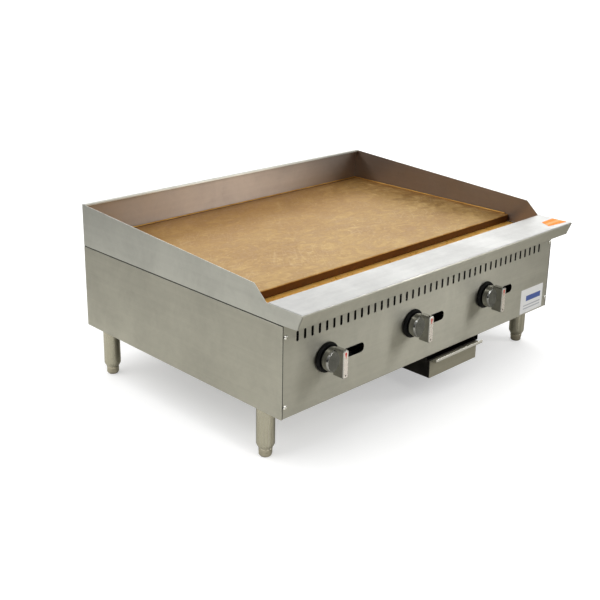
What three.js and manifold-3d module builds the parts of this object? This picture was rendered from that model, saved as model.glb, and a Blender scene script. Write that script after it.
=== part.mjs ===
// Countertop gas griddle: one thick steel plate over three U burners, in a stainless case on four legs.
// Millimetres, +Z up. X runs left to right seen from the front, and the front faces -Y.
// The origin is on the floor, under the middle of the whole body, with the feet wound right in.

import * as THREE from 'three';
import { mergeVertices } from 'three/addons/utils/BufferGeometryUtils.js';
import Module from 'manifold-3d';

const wasm = await Module();
wasm.setup();

// Whole body
const WIDTH = 914.4;
const DEPTH = 711.2;
const HEIGHT = 399;
const SIDE_X = WIDTH / 2;
const BACK_Y = DEPTH / 2;
const NOSE_Y = -DEPTH / 2;
const SHEET = 1.5;
const GAP = 0.3;
const INNER_X = SIDE_X - SHEET - GAP;
const INNER_BACK_Y = BACK_Y - SHEET - GAP;

// Case
const CASE_Z = 106.6;
const SEAM_Z = 300;
const PANEL_Y = -304;
const PANEL_TOP_Z = 299.2;
const PANEL_RETURN = 12;
const SIDE_FLANGE = 17;
const PAN_FRONT_Y = -291.5;
const PAN_RIM = 10.4;

// Splash guards, front ledge and grease trough
const SHOULDER = [-226, 364.5];
const LEDGE_BACK_Y = -259.6;
const LEDGE_Z = 334.5;
const NOSE_FOOT = [-342.3, 302.6];
const LEDGE_RETURN_Y = -303;
const HEM_DEPTH = 10.6;
const HEM_DROP = 5;
const TROUGH_SHEET = 2;
const TROUGH_Z = 297;
const TROUGH_WALL_TOP = 325;
const TROUGH_REAR_Y = -150;

// Griddle plate
const PLATE_TOP = 318.3;
const PLATE_THICKNESS = 19;
const PLATE_FRONT_Y = -175;

// Burners: one every 262 mm, each with its valve 74 mm to the left of its middle
const BURNER_PITCH = 262;
const PLACES = ['left', 'centre', 'right'];
const BURNER_X = PLACES.map((place, i) => (i - 1) * BURNER_PITCH);
const VALVE_OFFSET = -74;
const BURNER_Z = 203;
const BURNER_R = 15;
const BURNER_BORE = 12.5;
const BURNER_MOUTH_Y = -238;
const BURNER_BEND_Y = 206;
const BURNER_END_Y = -120;
const PORTS_PER_LEG = 7;
const PORT_PITCH = 42;
const FIRST_PORT_Y = -92;

// Gas pipework
const PIPE_R = 13.35;
const PIPE_BORE = 10.5;
const SOCKET_BORE = 13.8;
const MANIFOLD_Y = -262;
const MANIFOLD_Z = 155;
const MANIFOLD_LEFT = -395;
const SUPPLY_X = 425;
const SUPPLY_END_Y = 355;
const VALVE_NIPPLE_Z = MANIFOLD_Z + PIPE_R + 0.4;
const PILOT_Z = BURNER_Z + 10;

// Knobs
const KNOB_Z = 203;
const BEZEL_R = 31.5;
const BEZEL_DEPTH = 7.5;
const KNOB_R = 25.5;
const KNOB_DEPTH = 18.5;
const GRIP_WIDTH = 14.5;
const GRIP_LENGTH = 58;
const KNOB_FRONT_Y = -355.5;
const STEM_R = 3.9;

// Openings in the front panel
const VENT_COUNT = 42;
const VENT_MIDDLE_X = -7;
const VENT_PITCH = 20;
const VENT_WIDTH = 6.5;
const VENT_Z = [259, 280];
const LIGHTING_SLOT = { length: 70, height: 21, z: 194 };
const SCREW_X = 449;
const SCREW_Z = [132, 276];

// Flue slots in the back panel
const FLUE_SLOT_Z = [267, 277];

// Grease chute and drawer
const DRAWER_X = [-4, 168];
const DRAWER_Z = [51.5, 95.8];
const DRAWER_BACK_Y = 118;
const DRAWER_SHEET = 1.2;
const DRAWER_FLANGE = 7;
const PULL_Y = -321;
const PULL_Z = [93, 101];
const CHUTE_X = [57, 107];
const CHUTE_Y = [-238, -202];
const CHUTE_FOOT_Z = 104.6;

// Legs and feet
const LEG_X = 437.5;
const LEG_Y = { front: -239, back: 290 };
const LEG_R = 19;
const LEG_FOOT_Z = 18;
const LEG_TAPER = 9;
const FOOT_R = 14;
const FOOT_CHAMFER = 4;
const FOOT_STEM_R = 5;
const FOOT_STEM_TOP = 60;

// ---- materials ----

function finish(colour, roughness, metalness) {
  return new THREE.MeshStandardMaterial({ color: colour, roughness, metalness });
}

const stainless = finish(0xa8a59a, 0.35, 0.9);
const seasonedPlate = finish(0xb08a4e, 0.5, 0.7);
const darkSteel = finish(0x3a3835, 0.55, 0.8);
const burnerSteel = finish(0x8f8d88, 0.6, 0.7);
const brass = finish(0xb8964a, 0.35, 0.9);
const chromePlate = finish(0xd8d8d8, 0.12, 1);
const blackPlastic = finish(0x141414, 0.4, 0);
const pipeSteel = finish(0x5a5a58, 0.6, 0.8);

// ---- solids ----

function signedVolume(geometry) {
  const points = geometry.attributes.position;
  const index = geometry.index;
  const [a, b, c] = [new THREE.Vector3(), new THREE.Vector3(), new THREE.Vector3()];
  let sum = 0;
  for (let i = 0; i < index.count; i += 3) {
    a.fromBufferAttribute(points, index.getX(i));
    b.fromBufferAttribute(points, index.getX(i + 1));
    c.fromBufferAttribute(points, index.getX(i + 2));
    sum += a.dot(b.cross(c)) / 6;
  }
  return sum;
}

// Shares the vertices of a closed geometry and turns its faces outwards.
function closed(geometry) {
  const bare = geometry.clone();
  bare.deleteAttribute('normal');
  bare.deleteAttribute('uv');
  const merged = mergeVertices(bare, 1e-4);
  if (signedVolume(merged) < 0) {
    merged.setIndex(Array.from(merged.index.array).reverse());
  }
  return merged;
}

function toSolid(geometry) {
  const merged = closed(geometry);
  return new wasm.Manifold(new wasm.Mesh({
    numProp: 3,
    vertProperties: Float32Array.from(merged.attributes.position.array),
    triVerts: Uint32Array.from(merged.index.array),
  }));
}

function toGeometry(solid) {
  const mesh = solid.getMesh();
  const geometry = new THREE.BufferGeometry();
  geometry.setAttribute('position', new THREE.BufferAttribute(mesh.vertProperties, 3));
  geometry.setIndex(new THREE.BufferAttribute(mesh.triVerts, 1));
  return geometry;
}

function join(...pieces) {
  return toGeometry(pieces.map(toSolid).reduce((sum, piece) => sum.add(piece)));
}

function cut(piece, ...holes) {
  return toGeometry(holes.map(toSolid).reduce((rest, hole) => rest.subtract(hole), toSolid(piece)));
}

// A box between [low, high] on each axis.
function block(x, y, z) {
  const box = new THREE.BoxGeometry(x[1] - x[0], y[1] - y[0], z[1] - z[0]);
  return box.translate((x[0] + x[1]) / 2, (y[0] + y[1]) / 2, (z[0] + z[1]) / 2);
}

// Round bars along one axis, between [low, high], through the two other coordinates given.
function rodX(radius, x, y, z, sides = 14) {
  const bar = new THREE.CylinderGeometry(radius, radius, x[1] - x[0], sides);
  return bar.rotateZ(-Math.PI / 2).translate((x[0] + x[1]) / 2, y, z);
}

function rodY(radius, y, x, z, sides = 14) {
  const bar = new THREE.CylinderGeometry(radius, radius, y[1] - y[0], sides);
  return bar.translate(x, (y[0] + y[1]) / 2, z);
}

function rodZ(radius, z, x, y, sides = 14) {
  const bar = new THREE.CylinderGeometry(radius, radius, z[1] - z[0], sides);
  return bar.rotateX(Math.PI / 2).translate(x, y, (z[0] + z[1]) / 2);
}

// An outline in (y, z), drawn out along X.
function extrudeX(shape, x) {
  const solid = new THREE.ExtrudeGeometry(shape, { depth: x[1] - x[0], bevelEnabled: false });
  const [ex, ey, ez] = [new THREE.Vector3(1, 0, 0), new THREE.Vector3(0, 1, 0), new THREE.Vector3(0, 0, 1)];
  return solid.applyMatrix4(new THREE.Matrix4().makeBasis(ey, ez, ex)).translate(x[0], 0, 0);
}

// An outline in (x, z), drawn out along Y.
function extrudeY(shape, y) {
  const solid = new THREE.ExtrudeGeometry(shape, { depth: y[1] - y[0], bevelEnabled: false, curveSegments: 6 });
  return solid.rotateX(Math.PI / 2).translate(0, y[1], 0);
}

// The outline of sheet metal bent along a line, with its thickness on the left of the line's direction.
function bentSheet(line, thickness) {
  const points = line.map(([u, v]) => new THREE.Vector2(u, v));
  const normals = points.slice(1).map((point, i) => {
    const along = point.clone().sub(points[i]).normalize();
    return new THREE.Vector2(-along.y, along.x);
  });
  const inner = points.map((point, i) => {
    const before = normals[Math.max(i - 1, 0)];
    const after = normals[Math.min(i, normals.length - 1)];
    const mitre = before.clone().add(after).normalize();
    return point.clone().addScaledVector(mitre, thickness / mitre.dot(after));
  });
  return new THREE.Shape([...points, ...inner.reverse()]);
}

// A slot with round ends, in (x, z), centred on the point given.
function obround(x, z, length, height) {
  const radius = height / 2;
  const reach = length / 2 - radius;
  const shape = new THREE.Shape();
  shape.absarc(x + reach, z, radius, -Math.PI / 2, Math.PI / 2);
  shape.absarc(x - reach, z, radius, Math.PI / 2, 1.5 * Math.PI);
  shape.closePath();
  return shape;
}

function roundedBar(x, z, width, length, radius) {
  const [left, right] = [x - width / 2, x + width / 2];
  const [foot, head] = [z - length / 2, z + length / 2];
  const shape = new THREE.Shape();
  shape.absarc(right - radius, foot + radius, radius, -Math.PI / 2, 0);
  shape.absarc(right - radius, head - radius, radius, 0, Math.PI / 2);
  shape.absarc(left + radius, head - radius, radius, Math.PI / 2, Math.PI);
  shape.absarc(left + radius, foot + radius, radius, Math.PI, 1.5 * Math.PI);
  shape.closePath();
  return shape;
}

// A turned piece from (radius, height) pairs; its axis is Z.
function turned(profile, sides) {
  return closed(turnedAlongY(profile, sides).rotateX(Math.PI / 2));
}

// The same, with its axis along Y.
function turnedAlongY(profile, sides) {
  return new THREE.LatheGeometry(profile.map(([r, h]) => new THREE.Vector2(r, h)), sides);
}

// [low, high] in X, measured inwards from the outer face of one side (-1 left, 1 right).
function inFrom(side, from, to) {
  return side < 0 ? [-SIDE_X + from, -SIDE_X + to] : [SIDE_X - to, SIDE_X - from];
}

function widened([low, high], by) {
  return [low - by, high + by];
}

// ---- the scene graph ----

const griddle = new THREE.Group();

function add(name, geometry, material) {
  const mesh = new THREE.Mesh(closed(geometry), material);
  mesh.name = name;
  griddle.add(mesh);
}

// ---- case ----

function sidePanel(side) {
  const wall = block(inFrom(side, 0, SHEET), [PANEL_Y, BACK_Y], [CASE_Z, SEAM_Z - GAP]);
  const flangeY = [PANEL_Y + SHEET + GAP, PANEL_Y + 2 * SHEET + GAP];
  const frontFlange = block(inFrom(side, 0, SIDE_FLANGE), flangeY, [CASE_Z + 3, PANEL_TOP_Z - 4]);
  const shelfZ = [PLATE_TOP - PLATE_THICKNESS - GAP - SHEET, PLATE_TOP - PLATE_THICKNESS - GAP];
  const shelf = block(inFrom(side, 0, SIDE_FLANGE), [TROUGH_REAR_Y + 5, INNER_BACK_Y], shelfZ);
  const holes = SCREW_Z.map((z) => rodY(2.4, widened(flangeY, 1), side * SCREW_X, z, 12));
  return cut(join(wall, frontFlange, shelf), ...holes);
}

function backPanel() {
  const wall = block([-INNER_X, INNER_X], [BACK_Y - SHEET, BACK_Y], [CASE_Z, SEAM_Z - GAP]);
  const through = [BACK_Y - 2 * SHEET, BACK_Y + SHEET];
  const inletHole = rodY(17, through, SUPPLY_X, MANIFOLD_Z);
  const flueSlots = [];
  for (let i = -8; i <= 8; i += 1) {
    flueSlots.push(block([i * 48 - 18, i * 48 + 18], through, FLUE_SLOT_Z));
  }
  return cut(wall, inletHole, ...flueSlots);
}

function bottomPan() {
  const y = [PAN_FRONT_Y, INNER_BACK_Y];
  const tray = block([-INNER_X, INNER_X], y, [CASE_Z, CASE_Z + PAN_RIM]);
  const insideX = [-INNER_X + SHEET, INNER_X - SHEET];
  const inside = block(insideX, [y[0] + SHEET, y[1] - SHEET], [CASE_Z + SHEET, CASE_Z + PAN_RIM + SHEET]);
  const through = [CASE_Z - SHEET, CASE_Z + PAN_RIM];
  const airOpenings = BURNER_X.map((x) => block([x - 60, x + 60], [135, 325], through));
  const chuteHole = block(widened(CHUTE_X, 1), widened(CHUTE_Y, 1), through);
  const studHoles = [];
  for (const x of [-LEG_X, LEG_X]) {
    for (const legY of Object.values(LEG_Y)) {
      studHoles.push(rodZ(6, through, x, legY, 12));
    }
  }
  return cut(tray, inside, ...airOpenings, chuteHole, ...studHoles);
}

function frontPanel() {
  const line = [
    [PANEL_Y + PANEL_RETURN, PANEL_TOP_Z],
    [PANEL_Y, PANEL_TOP_Z],
    [PANEL_Y, CASE_Z],
    [PANEL_Y + PANEL_RETURN, CASE_Z],
  ];
  const sheet = extrudeX(bentSheet(line, SHEET), [-INNER_X, INNER_X]);
  const through = widened([PANEL_Y, PANEL_Y + SHEET], 1);
  const holes = [];
  for (let i = 0; i < VENT_COUNT; i += 1) {
    const x = VENT_MIDDLE_X + (i - (VENT_COUNT - 1) / 2) * VENT_PITCH;
    holes.push(block([x - VENT_WIDTH / 2, x + VENT_WIDTH / 2], through, VENT_Z));
  }
  for (const x of BURNER_X) {
    holes.push(extrudeY(obround(x, LIGHTING_SLOT.z, LIGHTING_SLOT.length, LIGHTING_SLOT.height), through));
    holes.push(rodY(7, through, x + VALVE_OFFSET, KNOB_Z));
  }
  for (const x of [-SCREW_X, SCREW_X]) {
    for (const z of SCREW_Z) {
      holes.push(rodY(2.4, through, x, z, 12));
    }
  }
  return cut(sheet, ...holes);
}

function panelScrew(x, z) {
  const shank = rodY(1.8, [PANEL_Y - 1, PANEL_Y + 8], x, z, 10);
  const head = turnedAlongY([[0, 0], [4.8, 0], [4.4, 2.2], [2.8, 3.6], [0, 3.6]], 12);
  return join(shank, head.rotateX(Math.PI).translate(x, PANEL_Y - GAP, z));
}

// Keeps the heat of the burners away from the valves; the burner mouths reach through it.
function heatShield() {
  const y = [-190, -188.8];
  const reach = INNER_X - SHEET - GAP;
  const sheet = block([-reach, reach], y, [CASE_Z + SHEET + GAP, TROUGH_Z - GAP]);
  const through = widened(y, 1);
  const mouths = BURNER_X.map((x) => rodY(19, through, x + VALVE_OFFSET, BURNER_Z));
  const pilots = BURNER_X.map((x) => rodY(8, through, x + 22, PILOT_Z, 12));
  return cut(sheet, ...mouths, ...pilots, rodY(16, through, SUPPLY_X, MANIFOLD_Z));
}

// An angle bar across the case that the burner legs lie on.
function burnerRest(y) {
  const top = BURNER_Z - BURNER_R - GAP;
  const line = [[y + 25, top], [y, top], [y, top - 14]];
  return extrudeX(bentSheet(line, 2), [-INNER_X, INNER_X]);
}

// ---- cooking top ----

function sideSplash(side) {
  const outline = new THREE.Shape([
    [BACK_Y, SEAM_Z + GAP],
    [BACK_Y, HEIGHT],
    SHOULDER,
    [LEDGE_BACK_Y, LEDGE_Z],
    [NOSE_Y, LEDGE_Z],
    NOSE_FOOT,
    [PANEL_Y, SEAM_Z + GAP],
  ].map(([y, z]) => new THREE.Vector2(y, z)));
  return extrudeX(outline, inFrom(side, 0, SHEET));
}

function backSplash() {
  const line = [
    [BACK_Y, SEAM_Z + GAP],
    [BACK_Y, HEIGHT],
    [BACK_Y - HEM_DEPTH, HEIGHT],
    [BACK_Y - HEM_DEPTH, HEIGHT - HEM_DROP],
  ];
  return extrudeX(bentSheet(line, SHEET), [-INNER_X, INNER_X]);
}

function griddlePlate() {
  return block([-INNER_X, INNER_X], [PLATE_FRONT_Y, INNER_BACK_Y], [PLATE_TOP - PLATE_THICKNESS, PLATE_TOP]);
}

function frontLedge() {
  const line = [
    [LEDGE_BACK_Y, SEAM_Z + 1],
    [LEDGE_BACK_Y, LEDGE_Z],
    [NOSE_Y, LEDGE_Z],
    NOSE_FOOT,
    [LEDGE_RETURN_Y, SEAM_Z],
  ];
  return extrudeX(bentSheet(line, SHEET), [-INNER_X, INNER_X]);
}

function greaseTrough() {
  const front = LEDGE_BACK_Y + GAP;
  const line = [[front, TROUGH_WALL_TOP], [front, TROUGH_Z], [TROUGH_REAR_Y, TROUGH_Z]];
  const channel = extrudeX(bentSheet(line, TROUGH_SHEET), [-INNER_X, INNER_X]);
  const drain = block(widened(CHUTE_X, -2), widened(CHUTE_Y, -2), [TROUGH_Z - 1, TROUGH_Z + TROUGH_SHEET + 1]);
  return cut(channel, drain);
}

// ---- grease chute and drawer ----

function greaseChute() {
  const z = [CHUTE_FOOT_Z, TROUGH_Z - GAP];
  return cut(block(CHUTE_X, CHUTE_Y, z), block(widened(CHUTE_X, -SHEET), widened(CHUTE_Y, -SHEET), widened(z, 1)));
}

function drawerRail(side) {
  const edge = side < 0 ? DRAWER_X[0] : DRAWER_X[1];
  const [foot, outer] = [edge + side, edge + side * 10];
  const z = DRAWER_Z[1] - DRAWER_SHEET - GAP - SHEET;
  const y = [PANEL_Y + 4, DRAWER_BACK_Y];
  const span = (a, b) => [Math.min(a, b), Math.max(a, b)];
  const wall = block(span(outer, outer - side * SHEET), y, [z, CASE_Z - GAP]);
  return join(wall, block(span(outer, foot), y, [z, z + SHEET]));
}

function greaseDrawer() {
  const y = [PANEL_Y + DRAWER_SHEET + GAP, DRAWER_BACK_Y];
  const body = block(DRAWER_X, y, DRAWER_Z);
  const inside = block(
    widened(DRAWER_X, -DRAWER_SHEET),
    widened(y, -DRAWER_SHEET),
    [DRAWER_Z[0] + DRAWER_SHEET, DRAWER_Z[1] + 1],
  );
  const flangeZ = [DRAWER_Z[1] - DRAWER_SHEET, DRAWER_Z[1]];
  const flanges = block(widened(DRAWER_X, DRAWER_FLANGE), [PANEL_Y + 8, DRAWER_BACK_Y], flangeZ);
  return cut(join(body, flanges), inside);
}

function drawerFront() {
  const line = [[PULL_Y, PULL_Z[1]], [PULL_Y, PULL_Z[0]], [PANEL_Y, PULL_Z[0]], [PANEL_Y, DRAWER_Z[0]]];
  return extrudeX(bentSheet(line, DRAWER_SHEET), DRAWER_X);
}

// ---- burners and gas train ----

// The U of one burner tube: out along the left leg, round the back and forward again.
function burnerTube(x, radius, mouthY, endY) {
  const reach = -VALVE_OFFSET;
  const bend = new THREE.CatmullRomCurve3(Array.from({ length: 9 }, (unused, i) => {
    const angle = Math.PI - (i * Math.PI) / 8;
    return new THREE.Vector3(x + reach * Math.cos(angle), BURNER_BEND_Y + reach * Math.sin(angle), BURNER_Z);
  }));
  const section = new THREE.Shape().absarc(0, 0, radius, 0, 2 * Math.PI);
  const arc = new THREE.ExtrudeGeometry(section, { extrudePath: bend, steps: 10, curveSegments: 6 });
  const leftLeg = rodY(radius, [mouthY, BURNER_BEND_Y + 1], x - reach, BURNER_Z, 12);
  const rightLeg = rodY(radius, [endY, BURNER_BEND_Y + 1], x + reach, BURNER_Z, 12);
  return join(leftLeg, arc, rightLeg);
}

function burner(x) {
  const wall = BURNER_R - BURNER_BORE;
  const tube = burnerTube(x, BURNER_R, BURNER_MOUTH_Y, BURNER_END_Y);
  const bore = burnerTube(x, BURNER_BORE, BURNER_MOUTH_Y - 1, BURNER_END_Y + wall);
  const holes = [block(airWindow(x).x, airWindow(x).y, airWindow(x).z)];
  for (const legX of [x + VALVE_OFFSET, x - VALVE_OFFSET]) {
    for (let i = 0; i < PORTS_PER_LEG; i += 1) {
      const y = FIRST_PORT_Y + i * PORT_PITCH;
      holes.push(block([legX - 8, legX + 8], [y - 1.5, y + 1.5], [BURNER_Z + 4, BURNER_Z + BURNER_R + 1]));
    }
  }
  return cut(tube, bore, ...holes);
}

// The air openings on both sides of a burner's mouth, which the shutter sleeve covers or leaves open.
function airWindow(x) {
  const legX = x + VALVE_OFFSET;
  return { x: [legX - 20, legX + 20], y: [-231, -221], z: [BURNER_Z - 5, BURNER_Z + 5] };
}

function airShutter(x) {
  const legX = x + VALVE_OFFSET;
  const y = [-235, -217];
  const window = airWindow(x);
  const sleeve = cut(rodY(18, y, legX, BURNER_Z, 16), rodY(16.3, widened(y, 1), legX, BURNER_Z, 16));
  return cut(sleeve, block(window.x, window.y, window.z));
}

// Valve body with its inlet nipple on the manifold and its nozzle in the burner's mouth.
function gasValve(x) {
  const valveX = x + VALVE_OFFSET;
  const body = rodY(12, [-292, -258], valveX, KNOB_Z);
  const nipple = rodZ(6, [VALVE_NIPPLE_Z, KNOB_Z], valveX, MANIFOLD_Y, 12);
  const hood = rodY(9, [-259, -242], valveX, KNOB_Z, 6);
  const nozzle = rodY(5, [-243, -234], valveX, KNOB_Z, 12);
  const stemBore = rodY(4.5, [-293, -280], valveX, KNOB_Z, 12);
  return cut(join(body, nipple, hood, nozzle), stemBore);
}

function valveStem(x) {
  return rodY(STEM_R, [-340, -281], x + VALVE_OFFSET, KNOB_Z, 12);
}

function pilotValve(x) {
  const body = rodZ(5, [VALVE_NIPPLE_Z, PILOT_Z - 24], x, MANIFOLD_Y, 12);
  const adjuster = rodY(3, [-274, MANIFOLD_Y], x, PILOT_Z - 31, 10);
  return join(body, adjuster);
}

function pilotTube(x) {
  const route = new THREE.CatmullRomCurve3([
    [0, MANIFOLD_Y, PILOT_Z - 23.7],
    [0, -261, PILOT_Z - 15],
    [2, -248, PILOT_Z - 4],
    [10, -225, PILOT_Z],
    [22, -190, PILOT_Z],
    [38, -155, PILOT_Z],
    [48, -135, PILOT_Z],
  ].map(([dx, y, z]) => new THREE.Vector3(x + dx, y, z)));
  const section = new THREE.Shape().absarc(0, 0, 2.5, 0, 2 * Math.PI);
  const tube = new THREE.ExtrudeGeometry(section, { extrudePath: route, steps: 12, curveSegments: 4 });
  return join(tube, rodY(5, [-138, -116], x + 48, PILOT_Z, 10));
}

function gasManifold() {
  const x = [MANIFOLD_LEFT, SUPPLY_X - 20.3];
  return cut(
    rodX(PIPE_R, x, MANIFOLD_Y, MANIFOLD_Z),
    rodX(PIPE_BORE, widened(x, 1), MANIFOLD_Y, MANIFOLD_Z),
  );
}

function manifoldCap() {
  const cap = rodX(17, [MANIFOLD_LEFT - 12, MANIFOLD_LEFT + 12], MANIFOLD_Y, MANIFOLD_Z, 6);
  return cut(cap, rodX(SOCKET_BORE, [MANIFOLD_LEFT - GAP, MANIFOLD_LEFT + 13], MANIFOLD_Y, MANIFOLD_Z));
}

function supplyElbow() {
  const outerR = 16.5;
  const [legX, legY] = [[SUPPLY_X - 32, SUPPLY_X], [MANIFOLD_Y, MANIFOLD_Y + 32]];
  const ball = new THREE.SphereGeometry(outerR, 14, 8).translate(SUPPLY_X, MANIFOLD_Y, MANIFOLD_Z);
  const body = join(
    rodX(outerR, legX, MANIFOLD_Y, MANIFOLD_Z),
    rodY(outerR, legY, SUPPLY_X, MANIFOLD_Z),
    ball,
  );
  return cut(
    body,
    rodX(SOCKET_BORE, [legX[0] - 1, SUPPLY_X - 20], MANIFOLD_Y, MANIFOLD_Z),
    rodY(SOCKET_BORE, [MANIFOLD_Y + 20, legY[1] + 1], SUPPLY_X, MANIFOLD_Z),
    rodX(9, legX, MANIFOLD_Y, MANIFOLD_Z, 12),
    rodY(9, legY, SUPPLY_X, MANIFOLD_Z, 12),
  );
}

function supplyPipe() {
  const y = [MANIFOLD_Y + 20.3, SUPPLY_END_Y];
  return cut(rodY(PIPE_R, y, SUPPLY_X, MANIFOLD_Z), rodY(PIPE_BORE, widened(y, 1), SUPPLY_X, MANIFOLD_Z));
}

// ---- knobs ----

function knobBezel(x) {
  const profile = [[9, 0], [BEZEL_R, 0], [BEZEL_R, 3], [BEZEL_R - 4, BEZEL_DEPTH], [9, BEZEL_DEPTH], [9, 0]];
  const ring = turnedAlongY(profile, 24).rotateX(Math.PI);
  return ring.translate(x + VALVE_OFFSET, PANEL_Y - GAP, KNOB_Z);
}

function knob(x) {
  const knobX = x + VALVE_OFFSET;
  const backY = PANEL_Y - 2 * GAP - BEZEL_DEPTH;
  const profile = [[0, 0], [KNOB_R, 0], [KNOB_R, KNOB_DEPTH - 1.5], [KNOB_R - 1.5, KNOB_DEPTH], [0, KNOB_DEPTH]];
  const body = turnedAlongY(profile, 24).rotateX(Math.PI).translate(knobX, backY, KNOB_Z);
  const gripY = [KNOB_FRONT_Y, backY - KNOB_DEPTH + 1];
  const grip = extrudeY(roundedBar(knobX, KNOB_Z, GRIP_WIDTH, GRIP_LENGTH, 3), gripY);
  const stemBore = rodY(STEM_R + 0.5, [-340 - GAP, backY + 1], knobX, KNOB_Z, 12);
  return cut(join(body, grip), stemBore);
}

// ---- legs and feet ----

function leg() {
  const bore = FOOT_STEM_R + 0.6;
  return turned([
    [0, FOOT_STEM_TOP + 4],
    [bore, FOOT_STEM_TOP + 4],
    [bore, LEG_FOOT_Z],
    [FOOT_R + 0.5, LEG_FOOT_Z],
    [LEG_R, LEG_FOOT_Z + LEG_TAPER],
    [LEG_R, CASE_Z - GAP],
    [5, CASE_Z - GAP],
    [5, CASE_Z + 11],
    [0, CASE_Z + 11],
  ], 20);
}

function levellingFoot() {
  return turned([
    [0, 0],
    [FOOT_R - FOOT_CHAMFER, 0],
    [FOOT_R, FOOT_CHAMFER],
    [FOOT_R, LEG_FOOT_Z - GAP],
    [FOOT_STEM_R, LEG_FOOT_Z - GAP],
    [FOOT_STEM_R, FOOT_STEM_TOP],
    [0, FOOT_STEM_TOP],
  ], 20);
}

// ---- assembly ----

add('left_side_panel', sidePanel(-1), stainless);
add('right_side_panel', sidePanel(1), stainless);
add('back_panel', backPanel(), stainless);
add('bottom_pan', bottomPan(), stainless);
add('front_panel', frontPanel(), stainless);
add('heat_shield', heatShield(), darkSteel);
add('front_burner_rest', burnerRest(-150), darkSteel);
add('rear_burner_rest', burnerRest(180), darkSteel);
for (const [side, x] of [['left', -SCREW_X], ['right', SCREW_X]]) {
  add(`lower_${side}_panel_screw`, panelScrew(x, SCREW_Z[0]), chromePlate);
  add(`upper_${side}_panel_screw`, panelScrew(x, SCREW_Z[1]), chromePlate);
}

add('left_splash', sideSplash(-1), stainless);
add('right_splash', sideSplash(1), stainless);
add('back_splash', backSplash(), stainless);
add('griddle_plate', griddlePlate(), seasonedPlate);
add('grease_trough', greaseTrough(), seasonedPlate);
add('front_ledge', frontLedge(), stainless);

add('grease_chute', greaseChute(), darkSteel);
add('left_drawer_rail', drawerRail(-1), darkSteel);
add('right_drawer_rail', drawerRail(1), darkSteel);
add('grease_drawer', greaseDrawer(), darkSteel);
add('drawer_front', drawerFront(), stainless);

add('gas_manifold', gasManifold(), pipeSteel);
add('manifold_cap', manifoldCap(), pipeSteel);
add('supply_elbow', supplyElbow(), pipeSteel);
add('supply_pipe', supplyPipe(), pipeSteel);

PLACES.forEach((place, i) => {
  const x = BURNER_X[i];
  add(`${place}_burner`, burner(x), burnerSteel);
  add(`${place}_air_shutter`, airShutter(x), burnerSteel);
  add(`${place}_gas_valve`, gasValve(x), brass);
  add(`${place}_valve_stem`, valveStem(x), brass);
  add(`${place}_pilot_valve`, pilotValve(x), brass);
  add(`${place}_pilot_tube`, pilotTube(x), burnerSteel);
  add(`${place}_knob_bezel`, knobBezel(x), blackPlastic);
  add(`${place}_knob`, knob(x), chromePlate);
});

for (const [end, y] of Object.entries(LEG_Y)) {
  for (const [side, x] of [['left', -LEG_X], ['right', LEG_X]]) {
    add(`${end}_${side}_leg`, leg().translate(x, y, 0), stainless);
    add(`${end}_${side}_foot`, levellingFoot().translate(x, y, 0), stainless);
  }
}

export default griddle;
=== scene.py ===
"""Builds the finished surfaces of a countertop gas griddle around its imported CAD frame.

Everything is in metres, +Z up, with X from left to right and the front facing -Y.
"""

import math

import bmesh
import bpy
from bpy.props import FloatProperty, FloatVectorProperty, IntProperty, PointerProperty
from mathutils import Matrix, Vector


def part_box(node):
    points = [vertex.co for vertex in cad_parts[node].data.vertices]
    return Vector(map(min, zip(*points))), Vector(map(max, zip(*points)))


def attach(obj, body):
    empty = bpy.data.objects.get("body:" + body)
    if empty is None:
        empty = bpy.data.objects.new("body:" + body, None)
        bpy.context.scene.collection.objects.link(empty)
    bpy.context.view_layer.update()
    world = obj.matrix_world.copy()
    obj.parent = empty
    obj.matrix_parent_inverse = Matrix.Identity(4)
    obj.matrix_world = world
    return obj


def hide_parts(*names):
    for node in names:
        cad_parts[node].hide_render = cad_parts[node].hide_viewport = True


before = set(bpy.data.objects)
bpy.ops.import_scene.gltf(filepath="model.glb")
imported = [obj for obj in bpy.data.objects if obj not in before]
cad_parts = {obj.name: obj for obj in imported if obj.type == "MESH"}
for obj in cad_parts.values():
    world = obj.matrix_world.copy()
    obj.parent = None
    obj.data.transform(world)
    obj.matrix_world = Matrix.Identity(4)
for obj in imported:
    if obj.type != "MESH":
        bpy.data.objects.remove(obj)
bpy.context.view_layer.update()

bl_info = {
    "name": "Flat top griddle",
    "version": (1, 0, 0),
    "blender": (4, 5, 0),
    "location": "3D View > Sidebar > Griddle",
    "description": "Makes the sheet steel, plate, knobs, legs and labels of a gas griddle on its frame",
    "category": "Object",
}

SIDES = ("left", "right")
PLACES = ("left", "centre", "right")
ENDS = ("front", "back")
CREASE = math.radians(32)
WELD_DISTANCE = 1e-6
TOUCHING = 1e-5
FLAT_ANGLE = math.radians(0.5)


# ---- settings ----


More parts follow.
